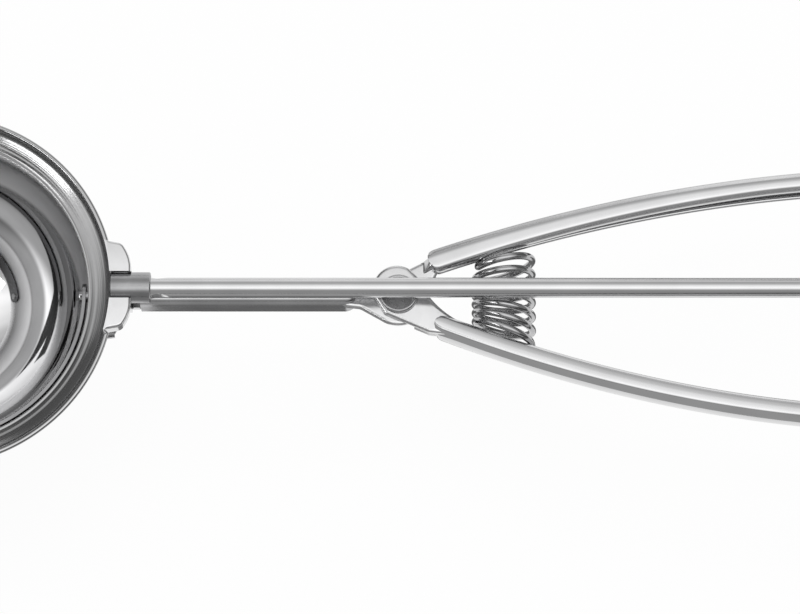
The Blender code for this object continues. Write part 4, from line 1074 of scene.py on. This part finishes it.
def pivot_rivet(materials):
    """The rivet: its head has a raised lip round a satin middle."""
    top = RIVET_HIGH[2] - ROD_HEIGHT
    low = RIVET_LOW[2] - ROD_HEIGHT
    seat = top - RIVET_HEAD_HEIGHT
    tail = low + RIVET_HEAD_HEIGHT
    head = (RIVET_HIGH[1] - RIVET_LOW[1]) / 2
    profile = [(radius, low + rise) for radius, rise in metres(RIVET_FOOT_MM)]
    profile += [(RIVET_FOOT_RADIUS, tail), (RIVET_SHANK_RADIUS, tail), (RIVET_SHANK_RADIUS, seat)]
    profile += [(head - RIVET_EDGE, seat), (head, seat + RIVET_EDGE)]
    profile += [(head - inset, top - drop) for inset, drop in metres(RIVET_LIP_MM)]
    profile.append((0, top - RIVET_DISH))
    bm = turned(profile, UPWARD, TURN_STEPS, spot(PIVOT_X, PIVOT_Y, 0))
    item = to_object(bm, "pivot_rivet_head", materials["rivet"], 30)
    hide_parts("pivot_rivet")
    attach(item, "scoop")


def spring_end(start, neighbour, grip):
    """An end wire from the coil to just off the inside of its channel, and its last bend."""
    normal = Vector((grip.slope(start.x), -grip.side, 0)).normalized()
    middle = Vector((start.x, grip.side * grip.spread(start.x), CHANNEL_MID - SPRING_WIRE / 2))
    tip = middle - normal * (CHANNEL_DEPTH / 2 - HANDLE_SHEET - GAP)
    lead = tip + normal * SPRING_LEAD
    leave = start + (start - neighbour).normalized() * SPRING_PULL
    arrive = lead + normal * SPRING_PULL
    return bezier((start, leave, arrive, lead), SPRING_END_STEPS)[1:] + [tip], lead


def wound_wire(points, material):
    """Round wire along the points, as a mesh."""
    curve = bpy.data.curves.new("spring_coil", "CURVE")
    curve.dimensions = "3D"
    curve.bevel_depth = SPRING_WIRE / 2
    curve.bevel_resolution = SPRING_WIRE_ROUNDNESS
    curve.use_fill_caps = True
    line = curve.splines.new("POLY")
    line.points.add(len(points) - 1)
    for knot, point in zip(line.points, points):
        knot.co = (*spot(*point), 1)
    curve.materials.append(material)
    wound = bpy.data.objects.new("spring_curve", curve)
    bpy.context.collection.objects.link(wound)
    mesh = final_mesh(wound)
    bpy.data.objects.remove(wound, do_unlink=True)
    return mesh


def spring(materials):
    """The coil, its turns fanned out with the grips, and its end wires inside the channels."""
    radius = SPRING_RADIUS - SPRING_WIRE / 2
    centre_z = -ROD_RADIUS - GAP - SPRING_RADIUS
    count = round(SPRING_TURNS * SPRING_POINTS)
    coil = []
    for i in range(count + 1):
        share = i / count
        angle = SPRING_ENTRY + math.tau * SPRING_TURNS * share
        x = SPRING_X + radius * math.cos(angle)
        low = SPRING_MARGIN - (LOWER.spread(x) - CHANNEL_DEPTH / 2)
        high = UPPER.spread(x) - CHANNEL_DEPTH / 2 - SPRING_MARGIN
        coil.append(Vector((x, low + (high - low) * share, centre_z + radius * math.sin(angle))))
    low_end, low_lead = spring_end(coil[0], coil[1], LOWER)
    high_end, high_lead = spring_end(coil[-1], coil[-2], UPPER)
    points = list(reversed(low_end)) + coil + high_end
    item = bpy.data.objects.new("spring_coil", wound_wire(points, materials["wire"]))
    bpy.context.collection.objects.link(item)
    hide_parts("spring")
    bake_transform(item)


def blade_spot(angle, across, radius):
    run = math.sqrt(radius ** 2 - across ** 2)
    return spot(run * math.cos(angle), -run * math.sin(angle), across - CUP_DROP)


def wiper_blade(materials):
    """The strip that follows the bowl's inside from pivot to pivot, with round ends."""
    outer = BOWL_RADIUS - BLADE_CLEARANCE
    inner = outer - BLADE_SHEET
    half = BLADE_WIDTH / 2
    reach = half / outer
    ends = [-reach * math.cos(math.radians(d)) for d in BLADE_TIP_DEGREES]
    stations = ends + [math.pi * i / BLADE_STEPS for i in range(1, BLADE_STEPS)]
    stations += [math.pi - a for a in reversed(ends)]
    skin = [BLADE_ROUND if abs(share) == 1 else 0 for share in BLADE_ROWS]
    rings = []
    for angle in stations:
        past = max(0.0, -angle, angle - math.pi) / reach
        width = half * math.sqrt(max(BLADE_TIP_LEAST, 1 - past ** 2))
        rows = [width * share for share in BLADE_ROWS]
        ring = [blade_spot(angle, row, outer - inset) for row, inset in zip(rows, skin)]
        ring += [blade_spot(angle, row, inner + inset) for row, inset in zip(reversed(rows), skin)]
        rings.append(ring)
    item = to_object(loft(rings), "wiper_strip", materials["blade"], 35)
    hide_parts("wiper_blade")
    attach(item, "wiper")


def wiper_shaft(materials):
    """The stepped shaft: full width through the bowl's wall, a neck in the pinion and the web."""
    low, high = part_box("wiper_shaft")
    start = low[0] - BOWL_X
    end = high[0] - BOWL_X
    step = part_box("pinion")[0][0] - BOWL_X - GAP
    edge = SHAFT_RADIUS / 5
    round_over = edge * 0.3
    profile = [(0, start), (SHAFT_RADIUS - edge, start), (SHAFT_RADIUS - round_over, start + round_over)]
    profile += [(SHAFT_RADIUS, start + edge), (SHAFT_RADIUS, step), (SHAFT_NECK_RADIUS, step)]
    profile += [(SHAFT_NECK_RADIUS, end), (0, end)]
    bm = turned(profile, ALONG_ROD, SMALL_TURN_STEPS, spot(0, 0, -CUP_DROP))
    item = to_object(bm, "wiper_spindle", materials["rod"], 30)
    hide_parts("wiper_shaft")
    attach(item, "wiper")


def dress_small_nodes(materials):
    for finish, nodes in SMALL_NODES.items():
        for node in nodes:
            for slot in frame["nodes"][node].material_slots:
                slot.material = materials[finish]


def glowing(name):
    """A material that only glows, and its emission node."""
    material = bpy.data.materials.new(name)
    tree = Tree(material)
    tree.nodes.clear()
    emission = tree.add("ShaderNodeEmission", {})
    tree.add("ShaderNodeOutputMaterial", {"Surface": emission.outputs["Emission"]})
    return material, emission


def level_cloth(name, level):
    material, emission = glowing(name)
    emission.inputs["Color"].default_value = (level, level, level, 1)
    return material


def flat_sheet(name, size, place, material):
    bm = bmesh.new()
    bmesh.ops.create_grid(bm, x_segments=1, y_segments=1, size=0.5)
    item = to_object(bm, name, material)
    item.scale = (*size, 1)
    item.location = place
    return item


def hide_card(item):
    """Cards are only mirrored: they light nothing, shade nothing and stay out of the picture."""
    item.visible_camera = False
    item.visible_diffuse = False
    item.visible_shadow = False


def in_sky(along, across):
    """The direction that leans this many degrees towards +X and +Y from straight up."""
    return Vector((math.tan(math.radians(along)), math.tan(math.radians(across)), 1)).normalized()


def card(name, along, across, size, level):
    """A flat card in the sky."""
    place = spot(VIEW_X, 0, 0) + in_sky(along, across) * CARD_DISTANCE
    item = flat_sheet(name, size, place, level_cloth(name + "_cloth", level))
    item.rotation_euler = (math.radians(-across), math.radians(along), 0)
    hide_card(item)


def ribbon(name, path, width, level):
    """A strip of cloth in the sky along a path of directions."""
    places = [in_sky(along, across) for along, across in path]
    bm = bmesh.new()
    edges = []
    for i, place in enumerate(places):
        run = places[min(i + 1, len(places) - 1)] - places[max(i - 1, 0)]
        side = place.cross(run).normalized() * width / 2
        centre = spot(VIEW_X, 0, 0) + place * CARD_DISTANCE
        edges.append((bm.verts.new(centre - side), bm.verts.new(centre + side)))
    for first, second in zip(edges, edges[1:]):
        bm.faces.new((first[0], first[1], second[1], second[0]))
    hide_card(to_object(bm, name, level_cloth(name + "_cloth", level)))


def table_card(name, low, high, level):
    """A dark sheet on the table, which the steel's lower sides mirror; beside and under the scoop it is
    painted shadow.
    """
    size = (high[0] - low[0], high[1] - low[1])
    place = ((low[0] + high[0]) / 2, (low[1] + high[1]) / 2, TABLE_SHEET_HEIGHT)
    hide_card(flat_sheet(name, size, place, level_cloth(name + "_dark", level)))


def lean(tree, side, up, stops):
    """Levels by how far a direction leans sideways, through (degrees from straight up, level) stops."""
    turn = tree.calculate("ARCTAN2", side, up)
    half_turn = {"Value": turn, "From Min": -math.pi / 2, "From Max": math.pi / 2}
    share = tree.add("ShaderNodeMapRange", half_turn, "Result")
    return tree.ramp(share, [(0.5 + degrees / 180, level) for degrees, level in stops])


def light_tent():
    """The tent round the table that the steel mirrors: a soft window overhead in grey cloth."""
    bm = bmesh.new()
    bmesh.ops.create_uvsphere(bm, u_segments=TURN_STEPS, v_segments=SMALL_TURN_STEPS, radius=TENT_RADIUS)
    material, emission = glowing("tent_cloth")
    tree = Tree(material)
    coords = tree.add("ShaderNodeTexCoord", {}, "Object")
    x, y, z = tree.add("ShaderNodeSeparateXYZ", {"Vector": coords}).outputs
    levels = tree.multiply_colours(lean(tree, y, z, TENT_ACROSS), lean(tree, x, z, TENT_ALONG))
    tree.plug(levels, emission.inputs["Color"])
    emission.inputs["Strength"].default_value = TENT_STRENGTH
    item = to_object(bm, "light_tent", material)
    item.location = spot(VIEW_X, 0, 0)
    hide_card(item)


def floor():
    """A white table that glows for the rays that show it and keeps the scoop's shadow."""
    material = bpy.data.materials.new("floor_white")
    tree = Tree(material)
    shader = tree.nodes["Principled BSDF"]
    shader.inputs["Base Color"].default_value = (FLOOR_GREY, FLOOR_GREY, FLOOR_GREY, 1)
    shader.inputs["Roughness"].default_value = FLOOR_ROUGHNESS
    shader.inputs["Specular IOR Level"].default_value = 0.0
    glow = tree.add("ShaderNodeEmission", {}, "Emission")
    share = tree.calculate("MULTIPLY", tree.shown(), FLOOR_GLOW)
    mix = tree.add("ShaderNodeMixShader", {"Fac": share, 1: shader.outputs["BSDF"], 2: glow}, "Shader")
    tree.plug(mix, tree.nodes["Material Output"].inputs["Surface"])
    item = flat_sheet("floor", FLOOR_SIZE, (0, 0, -FLOOR_DROP), material)


def world():
    """A white sky that is dimmer for the rays that only light the scoop."""
    sky = bpy.data.worlds.new("studio")
    bpy.context.scene.world = sky
    tree = Tree(sky)
    background = tree.nodes["Background"]
    background.inputs["Color"].default_value = (1, 1, 1, 1)
    levels = {"Value": tree.shown(), "To Min": SKY_LEVEL, "To Max": 1}
    tree.plug(tree.add("ShaderNodeMapRange", levels, "Result"), background.inputs["Strength"])


def overhead_lamp():
    light = bpy.data.lights.new("overhead", "AREA")
    light.shape = "RECTANGLE"
    light.size, light.size_y = LAMP_SIZE
    light.energy = LAMP_POWER
    item = bpy.data.objects.new("overhead", light)
    item.location = spot(VIEW_X, 0, 0) + Vector(LAMP_OFFSET)
    item.rotation_euler = (-Vector(LAMP_OFFSET)).to_track_quat("-Z", "Y").to_euler()
    item.visible_glossy = False
    bpy.context.collection.objects.link(item)


def studio():
    floor()
    world()
    overhead_lamp()
    light_tent()
    for name, values in TABLE_CLOTHS_AND_PAINTED_SHADOWS.items():
        table_card(name, *values)
    for name, values in RIBBONS.items():
        ribbon(name, *values)
    card("side_flag", *SIDE_FLAG)


def camera():
    """The photo's view: tilted from straight above towards the lower handle's side."""
    lens = bpy.data.cameras.new("photo_camera")
    lens.sensor_width = SENSOR_MM
    lens.lens = SENSOR_MM * VIEW_DISTANCE / VIEW_WIDTH
    lens.clip_start = 0.01
    lens.clip_end = 20
    item = bpy.data.objects.new("photo_camera", lens)
    back = Vector((0, -math.sin(VIEW_TILT), math.cos(VIEW_TILT)))
    item.location = spot(VIEW_X, VIEW_Y, 0) + back * VIEW_DISTANCE
    item.rotation_euler = (VIEW_TILT, 0, 0)
    bpy.context.collection.objects.link(item)
    bpy.context.scene.camera = item


def main():
    materials = make_materials()
    for build in (bowl, rod, ferrule, bracket, lower_handle, upper_handle, pivot_rivet, spring,
                  wiper_blade, wiper_shaft, dress_small_nodes):
        build(materials)
    studio()
    camera()
    bpy.context.scene.view_settings.view_transform = "Standard"


main()
